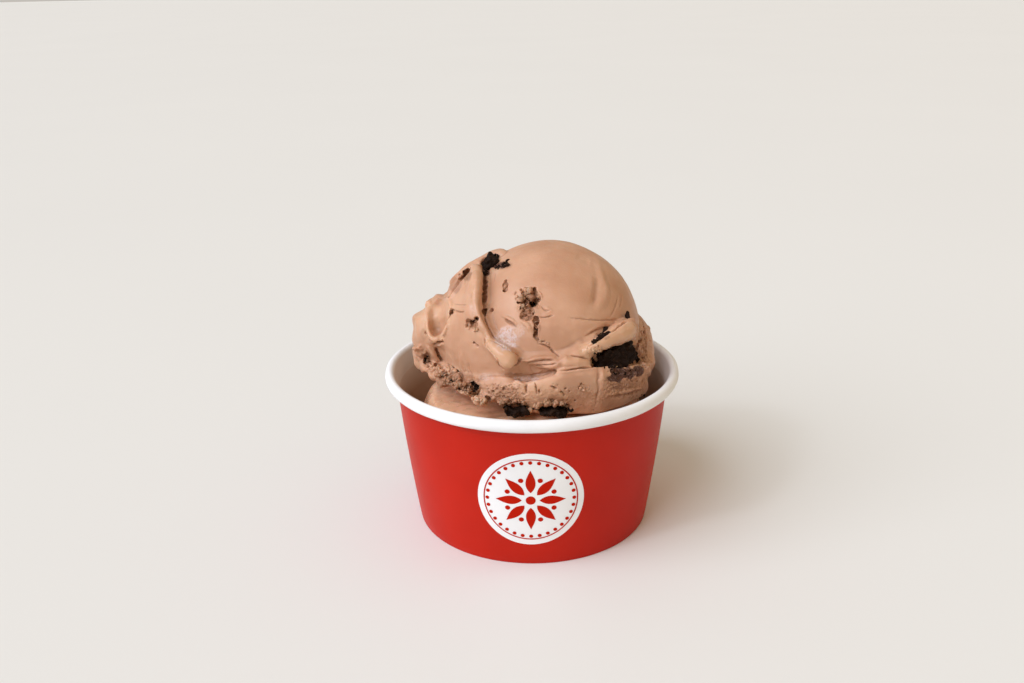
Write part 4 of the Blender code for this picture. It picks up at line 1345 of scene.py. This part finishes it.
def cream_material(name="chocolate_ice_cream", lift=1.0):
    """Chocolate ice cream: tan, faintly streaked, wet in places, with painted shade in its hollows,
    pits, creases and pores, a painted highlight on its ridges and paler painted light on some parts;
    lift multiplies the whole colour, painted light for the ice cream in the cup.
    """
    made = bpy.data.materials.get(name)
    if made:
        return made
    made = bpy.data.materials.new(name)
    n = Nodes(made)
    cavity, hollow, frost, melt_and_painted_light, stain_and_painted_shade, pores, depth, brown_and_painted_shade, wet = (
        n.mark(mark) for mark in ("cavity", "hollow", "frost", "melt_and_painted_light", "stain_and_painted_shade", "pores", "depth",
                                  "brown_and_painted_shade", "wet"))
    clouds = n.noise(70.0, 3.0)
    streaks = n.noise(190.0, 5.0, n.place((0.4, 1.0, 0.6), (0.0, 0.6, 0.35)), 0.6)
    crystals = n.noise(1500.0, 3.0)
    specks = n.noise(950.0, 4.0, None, 0.65)
    patches = n.noise(330.0, 5.0, None, 0.7)
    tone = n.math("ADD", n.times(clouds, 0.75), n.times(streaks, 0.25))
    stain_and_shade_share = n.math("ADD", n.times(patches, 0.7), stain_and_painted_shade)
    colour = n.mix(n.spread(tone, 0.38, 0.62), CREAM_MIDDLE, CREAM_LIGHT)
    # Layers: painted shade in hollows, pores, pits, creases and cavities, paler melt with painted
    # light, brown and stain with painted shade, frost, and a painted highlight on ridges
    for share, over in (
            (n.times(n.spread(hollow, 0.1, 1.0), 0.35), CREAM_PAINTED_SHADE),
            (n.times(melt_and_painted_light, 0.7), CREAM_MELT_AND_PAINTED_LIGHT),
            (n.times(brown_and_painted_shade, n.spread(clouds, 0.3, 0.6, 0.75, 1.0)), CREAM_BROWN_AND_PAINTED_SHADE),
            (n.times(frost, n.spread(crystals, 0.38, 0.6, 0.25, 1.0)), CREAM_FROST),
            (n.times(n.times(pores, n.spread(specks, 0.5, 0.64)), 0.7), CREAM_PAINTED_SHADE),
            (n.times(n.spread(stain_and_shade_share, 0.75, 1.1), 0.97), CREAM_STAIN_AND_PAINTED_SHADE),
            (n.times(n.spread(depth, 0.2, 2.0), 0.6), CREAM_PAINTED_SHADE),
            (n.times(n.spread(cavity, 0.15, 1.0), 0.42), CREAM_PAINTED_SHADE),
            (n.times(n.spread(cavity, -0.2, -1.0), 0.16), CREAM_PAINTED_HIGHLIGHT)):
        colour = n.mix(share, colour, over)
    rough = n.spread(n.noise(240.0, 4.0), 0.35, 0.65, 0.34, 0.52)
    rough = n.math("SUBTRACT", rough, n.times(wet, 0.26))
    rough = n.math("ADD", rough, n.times(pores, 0.15), True)
    grain = n.noise(900.0, 6.0, None, 0.6)
    drag = n.noise(420.0, 6.0, n.place((0.5, 1.0, 1.0), (0.0, 0.6, 0.35)), 0.6)
    normal = n.bump(drag, 0.00030, 0.2)
    normal = n.bump(grain, 0.00016, 0.5, normal)
    normal = n.bump(n.times(pores, specks), 0.0006, 0.8, normal)
    normal = n.bump(n.times(crystals, frost), 0.0004, 0.8, normal)
    # lift multiplies the whole colour; above 1 it is painted light, as for the ice cream in the cup
    n.set(Base_Color=n.mix(1.0, colour, (lift,) * 3, "MULTIPLY"), Roughness=rough, Normal=normal,
          Subsurface_Weight=0.35, Subsurface_Radius=(1.0, 0.45, 0.25), Subsurface_Scale=0.0016,
          IOR=1.38)
    return made


def cookie_material():
    """Dark cocoa cookie, matt and crumbly with a few paler crumbs."""
    made = bpy.data.materials.get("cocoa_cookie")
    if made:
        return made
    made = bpy.data.materials.new("cocoa_cookie")
    n = Nodes(made)
    grain = n.noise(800.0, 6.0, None, 0.7)
    lumps = n.add("TexVoronoi", {"Vector": n.place(), "Scale": 900.0}).outputs["Distance"]
    n.set(Base_Color=n.mix(n.spread(grain, 0.55, 0.75), COOKIE_DARK, COOKIE_LIGHT),
          Roughness=n.spread(grain, 0.3, 0.7, 0.5, 0.85), Specular_IOR_Level=0.12,
          Normal=n.bump(grain, 0.0004, 0.8, n.bump(lumps, 0.0005, 0.6)))
    return made


def paper_material(name, colour, roughness=0.42, coat=0.10, top_colour=None):
    """Coated paper with a slightly uneven print; with a top colour, the given colour is painted shade
    deep down that fades into the top colour near the rim.
    """
    made = bpy.data.materials.new(name)
    n = Nodes(made)
    darker = tuple(c * 0.90 for c in colour)
    shade = n.mix(n.spread(n.noise(60.0, 3.0), 0.3, 0.7), darker, colour)
    if top_colour:
        height = n.add("SeparateXYZ", {"Vector": n.place()}).outputs["Z"]
        fade = n.spread(height, *((CUP_HEIGHT - depth) * MM for depth in SHADE_FADE_DEPTHS))
        shade = n.mix(fade, shade, top_colour)
    n.set(Base_Color=shade, Roughness=roughness, Specular_IOR_Level=0.0, Coat_Weight=coat,
          Coat_Roughness=0.2)
    return made


# Room

def make_floor():
    bm = bmesh.new()
    bmesh.ops.create_circle(bm, cap_ends=True, segments=96, radius=14.0)
    floor = from_bmesh("floor", bm)
    pale = bpy.data.materials.new("pale_floor")
    n = Nodes(pale)
    darker = tuple(c * 0.97 for c in FLOOR_COLOUR)
    n.set(Base_Color=n.mix(n.noise(3.0, 4.0), darker, FLOOR_COLOUR), Roughness=0.6)
    floor.data.materials.append(pale)


def make_room():
    """Floor, a broad soft light from the upper left, and pale light all round, warmer at the right."""
    make_floor()
    for name, strength, angle in (("window", SUN_STRENGTH, SUN_ANGLE),
                                  ("glint", GLINT_STRENGTH, GLINT_ANGLE)):
        data = bpy.data.lights.new(name, "SUN")
        data.energy = strength
        data.angle = angle
        data.color = SUN_COLOUR
        sun = new_object(name, data)
        sun.rotation_euler = (-Vector(SUN_FROM)).to_track_quat("-Z", "Y").to_euler()
    world = bpy.data.worlds.new("room")
    bpy.context.scene.world = world
    n = Nodes(world, "Background")
    where = n.add("TexCoord").outputs["Generated"]
    across = n.add("SeparateXYZ", {"Vector": where}).outputs["X"]
    n.set(Color=n.mix(n.spread(across, *ROOM_TURN), ROOM_LEFT, ROOM_RIGHT), Strength=ROOM_STRENGTH)
    bpy.context.scene.view_settings.view_transform = "Standard"


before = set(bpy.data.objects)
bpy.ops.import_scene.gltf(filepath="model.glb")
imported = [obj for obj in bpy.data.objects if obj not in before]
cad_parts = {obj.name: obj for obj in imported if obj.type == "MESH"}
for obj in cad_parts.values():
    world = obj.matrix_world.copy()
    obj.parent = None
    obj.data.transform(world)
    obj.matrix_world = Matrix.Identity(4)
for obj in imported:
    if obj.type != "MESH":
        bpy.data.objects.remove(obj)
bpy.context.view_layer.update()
make_camera()
make_room()
LABEL_BEARING, LABEL_HEIGHT = label_place()
make_cup()
make_label()
base_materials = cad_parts["cup_base"].data.materials
base_materials.clear()
base_materials.append(paper_material("base_paper", PAPER_WHITE))
surface = make_ice_cream()
make_ice_cream_in_cup()
cookies = make_cookies()
make_chip(surface)
smears = [(group, front_of_all) for group in SMEARS]
make_crumbs("ice_cream_crumbs", both_sides(surface, CREAM_CRUMBS, BACK_CRUMBS) + smears,
            cream_material(), "ice_cream", CRUMB_SEEDS[0])
make_crumbs("cookie_crumbs", both_sides(surface, COOKIE_CRUMBS, BACK_COOKIE_CRUMBS),
            cookie_material(), "cookie", CRUMB_SEEDS[1])
